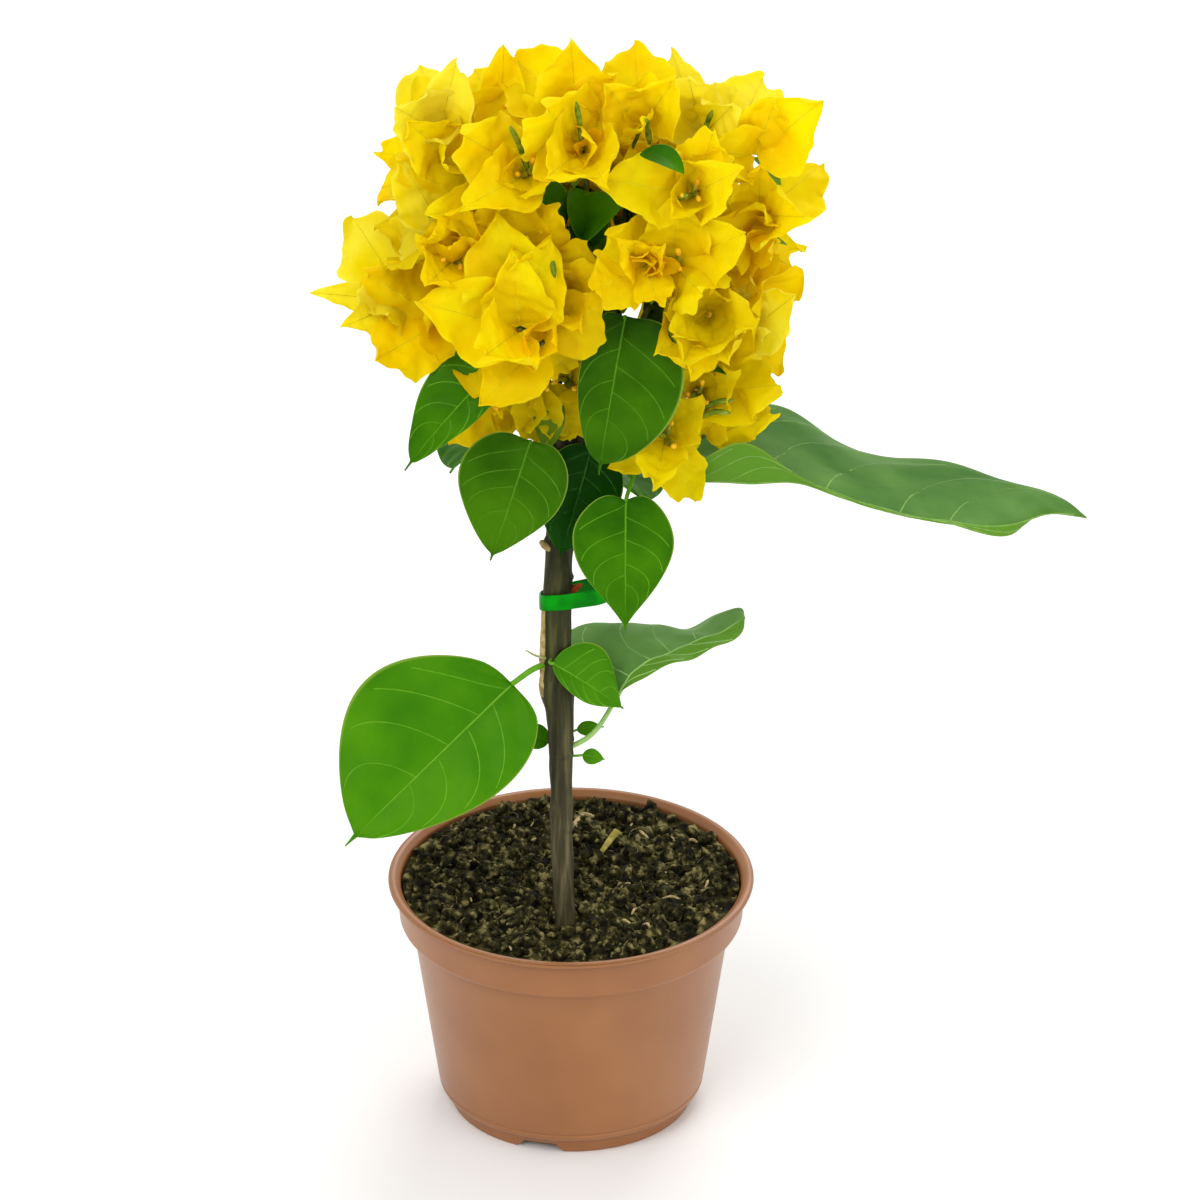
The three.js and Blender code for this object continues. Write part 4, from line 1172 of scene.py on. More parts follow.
@dataclass
class LeafPlan:
    """One large leaf: where its stalk runs, its blade, and how it bends.

    start, through and base are points of the stalk, and face is the bearing and lift its upper side
    looks. early and full shape the outline, lobe hearts the base, drip is the length of the drawn-out
    tip, skew widens one half, near and far bend the two halves, and arch bows the midrib. late moves the
    widest place of one half, the one with its sign, towards the tip.
    """

    name: str
    start: Spot
    through: Spot
    base: Spot
    tip: Spot
    face: tuple[float, float]
    width: float
    early: float
    full: float
    lobe: float
    drip: float
    skew: float
    near: float
    far: float
    arch: float
    shade: LeafShade
    veins: int = 4
    wave: float = 0.9
    rows: int = 60
    columns: int = 37
    thick: float = 0.5
    late: float = 0
    crease: ClassVar[float] = 0.0  # where the midrib is across the blade
    small_width: ClassVar[float] = 12

    @property
    def seed(self) -> int:
        """Picks the leaf's draws."""
        return len(self.name)

    def half_width(self, t: Array, s: Array) -> Array:
        """Half the width at t: the sine of pi t^early to the power full, with a thin drawn-out tip.

        Args:
            t: how far along, 0 to 1.
            s: how far out, of which only the sign counts.

        Returns:
            The distance from midrib to edge.
        """
        early = self.early + np.where(s * self.late > 0, abs(self.late), 0)
        body = np.sin(math.pi * np.clip(t / (1 - self.drip), 0, 1) ** early).clip(0) ** self.full
        tail = np.minimum(1, (1 - t) / (1.6 * self.drip)) * np.minimum(1, t / 0.05)
        return self.width / 2 * (0.95 * body + 0.05 * tail)

    def cushion(self, t: Array, s: Array) -> Array:
        """The quilting: a swell between side veins, less a groove along the midrib, plus soft noise.

        Args:
            t: how far along, 0 to 1.
            s: how far out, -1 to 1.

        Returns:
            The rise.
        """
        away = np.abs(s)
        phase = (t - self.vein_shift(away)) * (self.veins + 0.8) + np.where(s < 0, 0.5, 0.0)
        swell = 0.016 * self.width * (0.5 - 0.5 * np.cos(TURN * phase)) * away**0.5 * (1 - away**4)
        groove = 0.018 * self.width * np.exp(-((away * self.half_width(t, s) / 1.6) ** 2)) * (1 - t)
        spot = np.stack([t * self.width * 1.4, s * self.width / 2, 0 * t], axis=-1)
        return swell - groove + 0.004 * self.width * ripple(spot, 0.3 * self.width, self.seed)

    def vein_shift(self, out: Array) -> Array:
        """How much further along the blade a side vein has run when it is this far out."""
        return 0.16 * out**1.2 + 0.16 * out**3

    def surface(self, t: Array, s: Array) -> Array:
        """Points of the blade.

        The rise above the flat blade is the midrib's bow, plus the bend of each half, plus the
        quilting, plus waves that grow towards the edge.

        Args:
            t: how far along, 0 to 1.
            s: how far out, -1 to 1.

        Returns:
            Points with x, y and z last.
        """
        line = np.array(self.tip) - np.array(self.base)
        length = float(np.linalg.norm(line))
        along = line / length
        side = unit(np.cross(heading(*self.face), along))
        half, away = self.half_width(t, s), np.abs(s)
        back = self.lobe * length * s**2 * (1 - t) ** 2 * (1 - np.exp(-t / 0.04))
        bend = np.where(s < 0, self.near, self.far) * half * away
        swing = np.sin(TURN * (2.1 * t + draw(self.seed, 1)) + np.where(s < 0, 2.1, 0.0))
        edge = self.wave * swing * away**3 * np.sin(math.pi * t)
        rise = self.arch * 4 * t * (1 - t) + bend + self.cushion(t, s) + edge
        across = s * half * (1 + self.skew * s)
        place = (length * t - back)[..., None] * along + across[..., None] * side
        return np.array(self.base) + place + rise[..., None] * np.cross(along, side)

    def build(self) -> None:
        """Makes the blade, and its stalk and veins."""
        rows, columns = (16, 9) if self.width < self.small_width else (self.rows, self.columns)
        t, s = end_steps(rows), np.linspace(-1, 1, columns)
        grid = self.surface(*np.meshgrid(t, s, indexing="ij"))[None]
        blade = Shape().add_blades(grid, np.array([self.base]), np.array([self.tip]), self.thick, t, s)
        blade.piece(self.name + "_blade", WaxyLeaf(self.shade, self.crease), "leaf", self.name)
        rib = PlainGrown("leaf rib " + self.shade.name.lower(), *self.shade.value[1:])
        self.ribs().piece(self.name + "_ribs", rib, "leaf")

    def ribs(self) -> Shape:
        """The stalk running into the midrib, and the side veins, standing a little proud on both sides.

        Returns:
            The shape.
        """
        small = self.width < self.small_width
        stout = 0.45 + 0.012 * self.width
        stalk = smooth_lines([[self.start, self.through, self.base]], 20)
        shape = Shape().add_tubes(stalk, np.linspace(stout, 0.8 * stout, 20), 10)
        t = np.linspace(0.0, 0.97, 60)
        middle = self.surface(t, self.crease + 0 * t)[None]
        shape.add_tubes(middle, np.linspace(min(0.6 * stout, 0.6), 0.2 if small else 0.26, 60), 8)
        if small:
            return shape
        out = np.linspace(0, 0.9, 44)
        lines = []
        for side, first in ((-1, 0.35), (1, 0.8)):
            for index in range(self.veins):
                stray = 0.22 * (draw(self.seed + side, index) - 0.5)
                start = (index + stray + first) / (self.veins + 0.8) * 0.84 - 0.03
                reach = self.crease + (side - self.crease) * out
                lines.append(self.surface(np.clip(start + self.vein_shift(out), 0.012, 0.97), reach))
        return shape.add_tubes(np.array(lines), self.thick * np.linspace(0.66, 0.5, 44), 5)


@dataclass
class FoldedLeaf(LeafPlan):
    """A large leaf folded along its midrib, so that each edge runs its own way.

    It is given by lines of points from base to tip: its far edge, its midrib and its near edge. The
    upper half is drawn out from the crease to the far edge.
    """

    far_edge: tuple = ()
    midrib: tuple = ()
    near_edge: tuple = ()
    crease: ClassVar[float] = -0.45

    def surface(self, t: Array, s: Array) -> Array:
        """Points between the three lines, with the far half bowed up and the near half turned over.

        Args:
            t: how far along, 0 to 1.
            s: how far out, -1 at the near edge and 1 at the far edge.

        Returns:
            Points with x, y and z last.
        """
        place = np.linspace(0, 1, 200)
        lines = smooth_lines([self.far_edge, self.midrib, self.near_edge], 200)
        far, fold, near = [
            np.stack([np.interp(t, place, axis) for axis in line.T], axis=-1) for line in lines
        ]
        up = np.clip((s - self.crease) / (1 - self.crease), 0, 1)[..., None]
        down = np.clip((self.crease - s) / (1 + self.crease), 0, 1)[..., None]
        bulge = np.sin(math.pi * t)[..., None]
        bow = self.arch * 4 * up * (1 - up) * bulge
        rise = (self.cushion(t, s) + self.wave * np.sin(TURN * 3.3 * t) * np.abs(s) ** 3)[..., None]
        return fold + (far - fold) * up + (near - fold) * down**1.2 + UP * (bow + rise * bulge**0.5)


# Name; stalk's start, through and base, and the tip; face, width, outline, bend and shade, as in LeafPlan.
LEAVES = (
    LeafPlan("leaf_low_left", (-4.6, -14.6, 169), (-12, -19.5, 168.4), (-18.8, -21, 163.8),
        (-72.4, -46, 118.1), (0, 30), 56, 0.66, 0.74, 0.05, 0.07, -0.2, 0.06, 0.06, 2,
        LeafShade.FRESH, late=-0.3),
    LeafPlan("leaf_low_front", (-4.6, -14.6, 171.5), (-6.6, -21, 171.6), (-5.3, -22.6, 172.1),
        (16.9, -15.1, 151.7), (4, 46), 19.3, 0.82, 1.02, 0.06, 0.04, 0.34, 0.1, 0.08, 1,
        LeafShade.FRESH, 4, 0.4),
    # The low right leaf's paler green is partly painted light and sheen.
    FoldedLeaf("leaf_low_right", (-3.2, -18, 137.5), (7, -15.5, 142.6), (16, -10, 155), (56, 8, 172),
        (-50, 44), 40, 0.6, 0.7, 0, 0.05, 0, 0, 0, 2, LeafShade.GREY, 4, 0.7, 60, 37, 0.5, 0,
        ((16, -10, 155), (2, 2, 156), (-3, 14, 161), (6, 20, 164), (22, 22, 163), (36, 20, 161),
         (47, 18, 169), (55.4, 13, 173.4), (56.4, 8, 172.4)),
        ((16, -10, 155), (18, -9, 158), (20, -8, 161), (24, -6, 163), (30, -4, 165), (38, 0, 167),
         (46, 3, 168.6), (53, 6, 171), (56.4, 8, 172.4)),
        ((16, -10, 155), (19, -12, 158), (23, -12, 161), (27, -11, 163), (34, -9, 165), (42, -5, 166),
         (50, 0, 167.4), (55.6, 3.6, 170), (56.4, 8, 172.4))),
    LeafPlan("leaf_bud_right", (-3.2, -18, 136), (2, -17, 135.4), (3.8, -16.6, 135.4), (11.1, -18, 134.6),
        (0, 40), 5.4, 0.8, 0.8, 0, 0.06, 0, 0.1, 0.1, 0.4, LeafShade.FRESH, 4, 0.2),
    LeafPlan("leaf_bud_back", (-3.2, -17.4, 142.2), (0.8, -13.4, 142.4), (2, -12.6, 142.5),
        (10.8, -10.6, 142.6), (0, 40), 5, 0.8, 0.8, 0, 0.1, 0, 0.1, 0.1, 0.5, LeafShade.FRESH, 4, 0.2),
    LeafPlan("leaf_bud_left", (-3.2, -17.4, 140.4), (-6, -14.4, 139.4), (-7, -14, 138.9), (-17.2, -12, 142.2),
        (0, 40), 8.4, 0.8, 0.7, 0, 0.06, 0, 0.1, 0.1, 0.5, LeafShade.FRESH, 4, 0.2),
    LeafPlan("leaf_upper_left", (-4.2, -15.2, 258), (-13, -28, 284), (-24, -34, 283), (-52.1, -39.9, 250.3),
        (-17, 30), 22.6, 0.55, 0.7, 0.15, 0.09, -0.27, 0.1, 0.1, 3.4, LeafShade.MID),
    # leaf_centre_left takes the deeper green as painted shade, for the crown's shade that falls on it.
    LeafPlan("leaf_centre_left", (-2.4, -8, 222), (-10.5, -18, 245), (-12.6, -28, 254.6), (-25.4, -30, 213.3),
        (5, 25), 35, 0.7, 0.9, 0.11, 0.06, -0.09, 0.03, 0.02, 2, LeafShade.DEEP),
    LeafPlan("leaf_centre_dark", (-1.6, -6.4, 231), (4, -13, 245), (7, -15.5, 247), (-3.6, -19, 208.5),
        (8, 18), 27, 0.72, 0.8, 0.04, 0.06, 0, 0.05, 0.05, 2, LeafShade.SHADED),
    LeafPlan("leaf_centre_right", (5.6, -15, 262), (12, -28, 292), (17.4, -38, 303.4), (9.1, -44, 251),
        (-6, 22), 33, 0.8, 0.6, 0.1, 0.08, 0.33, 0.1, 0.12, 2.2, LeafShade.DEEP),
    LeafPlan("leaf_heart", (-1.5, -6.4, 232), (20, -13, 240), (17.7, -25, 232), (17.6, -31, 188.6),
        (-4, 27), 32.5, 0.7, 1.15, 0.145, 0.05, -0.04, 0.04, 0.04, 1.6, LeafShade.MID),
    FoldedLeaf("leaf_great_right", (-1.6, -6.4, 230), (10, 0, 234), (26, 6, 234), (166, 8, 209),
        (0, 80), 60, 0.5, 0.6, 0, 0.08, 0, 0, 0, 3.5, LeafShade.DULL, 6, 1.6, 90, 37, 0.6, 0,
        ((26, 6, 234), (38, 26, 239), (63, 32, 238), (86, 32, 225), (111, 30, 219), (134, 26, 216),
         (150, 20, 214.4), (160, 14, 211.6), (166, 8, 209)),
        ((26, 6, 234), (36, -20, 237), (54, -26, 239), (73, -28, 239), (94, -28, 232), (116, -24, 224),
         (139, -14, 217), (153, 0, 214.6), (166, 8, 209)),
        ((26, 6, 234), (37, -26, 246), (54, -33, 257), (71, -31, 244), (93, -30, 234), (115, -25, 224),
         (139, -15, 215), (150, -1, 214.4), (166, 8, 209))),
    LeafPlan("leaf_gap_left", (1, -3, 254), (0.5, -9.5, 284), (0.6, -13, 304), (-14, -22, 330),
        (10, 20), 20, 0.8, 0.8, 0, 0.06, 0, 0.15, 0.15, 2, LeafShade.SHADED),
)


@dataclass
class Foliage:
    """The large leaves, those listed and those round the back of the crown's foot, and a bare twiglet."""

    stem: Stem
    twiglet: tuple = ((-4.6, -15.4, 170.2), (-8.6, -18.2, 171.9), (-11.4, -19.4, 173.4), (-14.4, -20, 175.6))
    backs: tuple = (
        ("leaf_back_left", -140, 236, 28, 34, 46, 32, LeafShade.MID),
        ("leaf_back_right", 152, 222, 26, 34, 48, 33, LeafShade.DEEP),
        ("leaf_back", 178, 238, 30, 30, 44, 30, LeafShade.MID),
    )

    def back_plans(self) -> list[LeafPlan]:
        """The leaves at the back, each out from the stem on its stalk, then down.

        Returns:
            Their plans, from the rows' name, bearing, height on the stem, reach of the stalk, drop,
            length and width of the blade, and green.
        """
        plans = []
        for name, bearing, height, out, drop, size, width, shade in self.backs:
            root, away = self.stem.at_height(height), heading(bearing, 0)
            base = root + away * out + UP * (out * 0.25)
            fall = math.asin(drop / size)
            tip = base + away * size * math.cos(fall) - UP * drop
            spots = [tuple(spot) for spot in (root, (root + base) / 2 + 3 * UP, base, tip)]
            form = (width, 0.68, 0.8, 0.06, 0.07, 0.08, 0.08, 0.08, 2)
            plans.append(LeafPlan(name, *spots, (bearing, 90 - math.degrees(fall)), *form, shade))
        return plans

    def build(self) -> None:
        """Makes every large leaf and the twiglet."""
        for plan in (*LEAVES, *self.back_plans()):
            plan.build()
        twiglet = Shape().add_tubes(smooth_lines([self.twiglet], 12), np.linspace(0.6, 0.24, 12), 8)
        twiglet.piece("twiglet", PlainGrown("twig pale green", "#8b9650", "#b9bd82"), "leaf")


@dataclass(frozen=True)
class Tip:
    """One bract of a posed bloom: where its tip is from the bloom's knot, right and up in the front view.

    What is left of its length goes towards the viewer, or away if away is 1. wide is its share of the
    usual width, and back is 1 where its outer side shows.
    """

    right: float
    up: float
    length: float
    wide: float = 0.9
    back: int = 0
    away: int = 0


@dataclass
class Bloom:
    """One bloom: where it sits, the way it faces, roll, size and opening, yellow, and any posed bracts."""

    mass: int
    at: Array
    face: tuple[float, float]
    roll: float
    size: float
    open: float
    seed: int
    shade: BractShade
    tips: tuple[Tip, ...] = ()
    heart: bool = False

    def chance(self, index: int) -> float:
        """One of the bloom's draws."""
        return draw(self.seed, index)

    def radial(self, turn: float) -> Array:
        """The way square to its axis that is this far round it, in radians clockwise from up."""
        right, up, _ = facing(*self.face)
        return up * math.cos(turn) + right * math.sin(turn)


# Each mass of blossom: the bearing and lift of its heart from the crown's, and its share of the reach.
HEARTS = {
    "front": (-20, -14, 0.34),
    "left": (-80, -6, 0.42),
    "top_left": (-84, 36, 0.42),
    "top": (16, 66, 0.42),
    "front_right": (26, 6, 0.4),
    "top_right": (100, 42, 0.42),
    "right": (76, -2, 0.44),
    "low_right": (56, -50, 0.66),
    "under": (-34, -54, 0.56),
    "back": (180, 4, 0.44),
    "back_left": (-132, 4, 0.42),
    "back_right": (134, 4, 0.42),
    "back_top": (178, 56, 0.44),
    "back_low": (160, -48, 0.5),
}


# The posed blooms at the front, in the order of their seeds: mass, knot (right, up and towards the viewer in
# the front view), yellow, for each bract what Tip holds, and True where the bloom's heart shows.
# Their yellows are painted light and shade: olive and golden for sprays low down or deep in the crown, lemon
# for the palest lit ones.
SPRAYS = (
    ("front", (-22, -19, 8), "SUNNY", (
        (-7, 34, 38, 0.85), (-30, 8, 35), (9, 26, 31, 0.8), (-11, -9, 30), (-2, 21, 27))),
    ("front", (-15, -23, 0), "GOLDEN", ((-18, -18, 27, 0.85), (19, 12, 27, 0.9, 1), (8, -8, 20, 0.7, 0, 1))),
    ("front", (-9, -9, -2), "GOLDEN", ((8, 17, 24, 1, 1), (12, 9, 22), (-4, 12, 20, 1), (5, -9, 18, 1))),
    ("under", (-7, -34, -34), "OLIVE", (
        (5, -17, 20, 0.9, 0, 1), (-6, -18, 22, 0.9, 0, 1), (9, -4, 16), (3, 14, 18))),
    ("under", (-16, -34, -30), "OLIVE", (
        (-1, -19, 22, 0.8, 0, 1), (-11, -14, 21, 0.9, 0, 1), (9, -18, 23, 0.7, 0, 1), (-2, 12, 18))),
    ("under", (-33, -39, -36), "GOLDEN", ((-11, -14, 20, 0.9, 0, 1), (5, -16, 19, 0.9, 0, 1), (8, 4, 16))),
    ("left", (-47, -16, -15), "GOLDEN", ((-21, 14, 30, 0.95, 1), (-20, -12, 28, 0.95, 1))),
    ("left", (-58, -9, -18), "LEMON", ((-16, 25, 34, 0.85, 0, 1), (-28, 2, 30, 0.4), (-18, -8, 24, 0.7))),
    ("left", (-43, 3, 6), "GOLDEN", ((4, 17, 24, 1), (-8, -9, 24), (-5, 8, 22, 0.8, 1))),
    ("left", (-45, 11, 1), "LEMON", ((-13, 21, 29, 0.7, 1), (-15, 3, 24, 0.9, 0, 1))),
    ("top_left", (-47, 43, 4), "LEMON", ((-6, 20, 24, 1, 0, 1), (5, 20, 25, 0.8), (-14, 7, 24, 1.1))),
    ("top_left", (-44, 34, 4), "SUNNY", ((-21, 3, 25, 0.7, 0, 1), (-22, -8, 27, 0.6, 0, 1), (-11, 10, 24))),
    ("top_left", (-19, 30, 13), "SUNNY", (
        (-11, 28, 33, 0.8, 0, 1), (-21, 11, 30, 0.95, 1), (-17, -10, 30, 0.85))),
    ("top_left", (-34, 18, 3), "SUNNY", ((-25, 15, 32, 0.9, 1), (-13, -1, 24))),
    ("front", (-22, 2, 5), "GOLDEN", ((-9, 21, 26, 1), (12, 16, 26, 0.8, 1))),
    ("top", (-28, 47, -5), "SUNNY", ((1, 22, 24, 0.6), (-9, 18, 26, 0.9, 0, 1), (9, 14, 24, 0.9, 0, 1))),
    ("top", (-4, 47, 7), "SUNNY", ((-2, 22, 27, 1.05), (-19, 19, 31, 0.95, 0, 1), (11, 12, 22))),
    ("top", (-2, 37, 16), "SUNNY", ((6, -10, 24, 1.1), (-13, 13, 30, 1.05, 1), (-11, -9, 26, 1)), True),
    ("top", (16, 44, 10), "SUNNY", ((-2, 25, 28, 1, 0, 1), (10, 14, 24), (-11, 12, 22))),
    ("top_right", (35, 42, 2), "LEMON", ((-9, 26, 30, 0.5, 0, 1), (-4, 16, 24, 0.8, 1), (10, 9, 24))),
    ("top_right", (43, 37, -5), "LEMON", ((11, 23, 30, 1, 0, 1), (-7, 19, 26, 0.9, 0, 1))),
    ("top_right", (51, 35, 7), "SUNNY", ((20, 16, 30, 1), (6, 15, 22, 0.9, 1), (-15, 2, 24))),
    ("top_right", (53, 17, 0), "SUNNY", ((20, 17, 31, 0.9, 0, 1), (12, -1, 24, 1.1), (0, 14, 22))),
    ("right", (51, 9, -6), "GOLDEN", ((12, -7, 24, 0.9, 1, 1), (8, 4, 22), (-10, 5, 24, 1))),
    ("front_right", (32, 23, 18), "SUNNY", ((-27, 4, 31, 0.8), (6, 18, 26, 0.8, 1), (11, 5, 24, 1))),
    ("front_right", (26, 2, 12), "SUNNY", (
        (-19, 7, 26, 1, 1), (1, 18, 24, 1), (21, 8, 28, 1), (9, -11, 24, 1, 1))),
    ("front_right", (17, 1, 18), "GOLDEN", (
        (-15, -8, 22, 1, 1), (4, -12, 20, 0.8, 1), (-7, 6, 15, 1), (5, 5, 15, 1)), True),
    ("right", (37, -14, 4), "OLIVE", (
        (-11, -7, 24), (12, -4, 24, 1), (-2, 8, 20, 1.1), (6, -15, 24, 1), (-8, -15, 26, 1.1))),
    ("right", (35, -18, -8), "GOLDEN", ((-13, -8, 24, 1.15), (-3, -13, 21, 1.1), (-10, 4, 20, 1))),
    ("right", (47, -21, -16), "LEMON", ((3, 19, 24, 0.8), (17, 13, 26, 0.8), (9, -7, 22, 0.9, 0, 1))),
    ("low_right", (34, -38, -20), "OLIVE", ((25, 2, 30, 0.75, 1), (-3, 9, 20), (11, 6, 22))),
    ("low_right", (36, -52, -32), "OLIVE", (
        (22, 7, 28, 0.45, 1), (12, 1, 16, 0.7, 0, 1), (6, 9, 16), (-6, 5, 16))),
    ("low_right", (24, -52, -23), "OLIVE", (
        (9, -20, 25, 0.7, 0, 1), (-4, -15, 22, 0.8), (-17, -9, 21, 0.65, 0, 1), (10, 12, 22))),
)


@dataclass(frozen=True)
class Layer:
    """A layer of golden-angle places for blooms.

    lowest is the sine of the lowest lift, reach how deep in the crown they sit, apart the least way
    between two blooms, and size and spread the bracts' length and how much it varies.
    """

    places: int
    lowest: float
    reach: float
    apart: float
    size: float
    spread: float
    first_seed: int


@dataclass(frozen=True)
class BractForm:
    """The form of a whorl's bracts: width over length, outline, and ranges that draws pick from.

    The outline is t^full (1 - t)^taper. cup is the angle of half the cross-section's arc, bend that
    of the midrib's, plus where it closes over the flowers, and recurve turns the tip back.
    """

    wide: float = 1.0
    full: float = 0.5
    taper: float = 0.78
    cup: tuple[float, float] = (0.3, 0.95)
    bend: tuple[float, float] = (-0.7, 0.6)
    fold: tuple[float, float] = (-0.1, 0.3)
    recurve: float = 0.2
    wave: float = 0.1
    crumple: float = 0.7
    thick: float = 0.22
    rows: int = 18
    columns: int = 13

    def half_width(self, t: Array) -> Array:
        """Half the width over the length: the outline over its own highest value.

        Args:
            t: how far along, 0 to 1.

        Returns:
            The share of the length.
        """
        widest = self.full / (self.full + self.taper)
        most = widest**self.full * (1 - widest) ** self.taper
        return self.wide / 2 * t**self.full * (1 - t) ** self.taper / most


OUTER = BractForm()
POSED = BractForm(full=0.52, taper=0.92, bend=(-0.45, 0.5), wave=0.1, crumple=0.85, rows=36, columns=23)
INNER = BractForm(1.0, 0.5, 0.7, (0.5, 1.3), (-0.3, 1.0), (0, 0.2), 0.12, 0.1, 0.7, 0.2, 12, 9)
PETAL = BractForm(0.8, 0.6, 0.5, (0.6, 1.6), (-0.6, 1.2), (0, 0.3), 0.2, 0.12, 0.5, 0.22, 6, 5)


@dataclass
class Whorl:
    """Bracts gathered to be made at once: start, way, face, length, share of the width, and seed of each."""

    bracts: list[tuple[Array, Array, Array, float, float, int]] = field(default_factory=list)

    def pose(self, bloom: Bloom) -> None:
        """Adds the posed bracts of a bloom whose frame is the front view's.

        Args:
            bloom: the bloom.
        """
        right, up, toward = facing(*bloom.face)
        for index, tip in enumerate(bloom.tips):
            across = right * tip.right + up * tip.up
            depth = math.sqrt(max(0.0, tip.length**2 - across @ across))
            along = unit(across + toward * (-depth if tip.away else depth))
            face = unit(toward - along * (toward @ along)) * (-1 if tip.back else 1)
            start = bloom.at + unit(across) * 0.5
            self.bracts.append((start, along, face, tip.length, tip.wide, bloom.seed * 7 + index))

    def ring(self, bloom: Bloom, count: int, roll: float, opening: float, size: float, sway: float,
             seed: int) -> None:
        """Adds a ring of bracts round a bloom's axis.

        Args:
            bloom: the bloom.
            count: how many.
            roll: the first one's angle, clockwise from up.
            opening: the angle between the axis and a bract.
            size: their length.
            sway: how far draws change angles.
            seed: picks the draws.
        """
        axis = heading(*bloom.face)
        for index in range(count):
            turn = math.radians(roll + 360 / count * index + (draw(seed, index) - 0.5) * sway)
            lean = math.radians(opening + (draw(seed, index + 10) - 0.5) * sway)
            radial = bloom.radial(turn)
            along = axis * math.cos(lean) + radial * math.sin(lean)
            face = axis * math.sin(lean) - radial * math.cos(lean)
            length = size * (0.84 + 0.32 * draw(seed, index + 20))
            wide = 0.85 + 0.3 * draw(seed, index + 30)
            self.bracts.append((bloom.at + radial * 0.5, along, face, length, wide, seed * 3 + index))

    def sheet(self, form: BractForm, t: Array, s: Array) -> Array:
        """Points of the bracts' middle sheets.

        The midrib is an arc whose tip turns back, the cross-section is an arc cupped towards the
        flowers, the edges wave and are ragged, and ripples and sharp creases crumple the whole.

        Args:
            form: the bracts' form.
            t: (rows, 1) how far along.
            s: (1, columns) how far out.

        Returns:
            (bracts, rows, columns, 3) points.
        """
        base, along, face, length, wide, seed = (np.array(column) for column in zip(*self.bracts))
        side = unit(np.cross(face, along))
        length = length[:, None, None]
        chance = [draw(seed, 80 + index)[:, None, None] for index in range(8)]
        ragged = np.sin(TURN * (2.3 * t + chance[0]) + 2 * np.sign(s))
        ragged = ragged + 0.4 * np.sin(TURN * (4 + 3 * chance[7]) * t**1.4 + TURN * chance[3] + 3 * s)
        half = form.half_width(t) * length * wide[:, None, None] * (1 + 0.05 * ragged)
        bend = between(form.bend, chance[1])
        bend = np.where(np.abs(bend) < 0.05, 0.05, bend)
        turned = bend * (t - 0.3)
        forward = length * (np.sin(turned) + np.sin(0.3 * bend)) / bend
        upward = length * (np.cos(0.3 * bend) - np.cos(turned)) / bend
        upward = upward - 2 * form.recurve * chance[7] * length * np.clip(t - 0.5, 0, 1) ** 2
        cup = between(form.cup, chance[2])
        across = half * np.sin(cup * s) / cup
        lifted = half * (1 - np.cos(cup * s)) / cup
        lifted = lifted + between(form.fold, chance[5]) * np.sqrt(across**2 + 1)
        slow = np.sin(TURN * (1.5 * t + 0.35 * s + chance[3]))
        quick = np.sin(TURN * (4.6 * t + 0.2 * s + chance[0])) * np.abs(s)
        wave = form.wave * length * s**2 * (slow + 0.42 * quick) * (0.3 + 0.7 * t)
        spot = np.stack(np.broadcast_arrays(forward + 9 * chance[4], across, 40 * chance[5]), axis=-1)
        creases = np.abs(ripple(spot, 9, 65)) + 0.5 * np.abs(ripple(spot, 4.5, 67))
        crumple = form.crumple * (0.8 * ripple(spot, 12, 61) + 0.3 * ripple(spot, 5, 63) + 0.7 * creases)
        groove = -0.5 * np.exp(-((across / 1.3) ** 2)) * (1 - t)
        rise = upward + lifted + wave + crumple * np.sin(math.pi * np.clip(t, 0, 1)) ** 0.5 + groove
        amounts = (forward + 0.8 + 0 * rise, across, rise)
        ways = [vector[:, None, None] for vector in (base, along, side, np.cross(along, side))]
        return ways[0] + sum(amount[..., None] * way for amount, way in zip(amounts, ways[1:]))

    def add_to(self, shape: Shape, form: BractForm, ribs: Shape | None = None) -> None:
        """Adds the bracts as thin closed blades.

        Args:
            shape: takes the blades.
            form: the bracts' form.
            ribs: takes their midribs, strips that stand a little proud on both sides.
        """
        if not self.bracts:
            return
        t, s = end_steps(form.rows), np.linspace(-1, 1, form.columns)
        middle = self.sheet(form, t[:, None], s[None])
        base, tip = [self.sheet(form, np.full((1, 1), end), np.zeros((1, 1)))[:, 0, 0] for end in (0.0, 1.0)]
        shape.add_blades(middle, base, tip, form.thick, t, s)
        if ribs is not None:
            lines = self.sheet(form, t[:-2, None], np.zeros((1, 1)))[:, :, 0]
            ribs.add_tubes(lines, np.linspace(0.3, 0.13, form.rows - 2), 4)


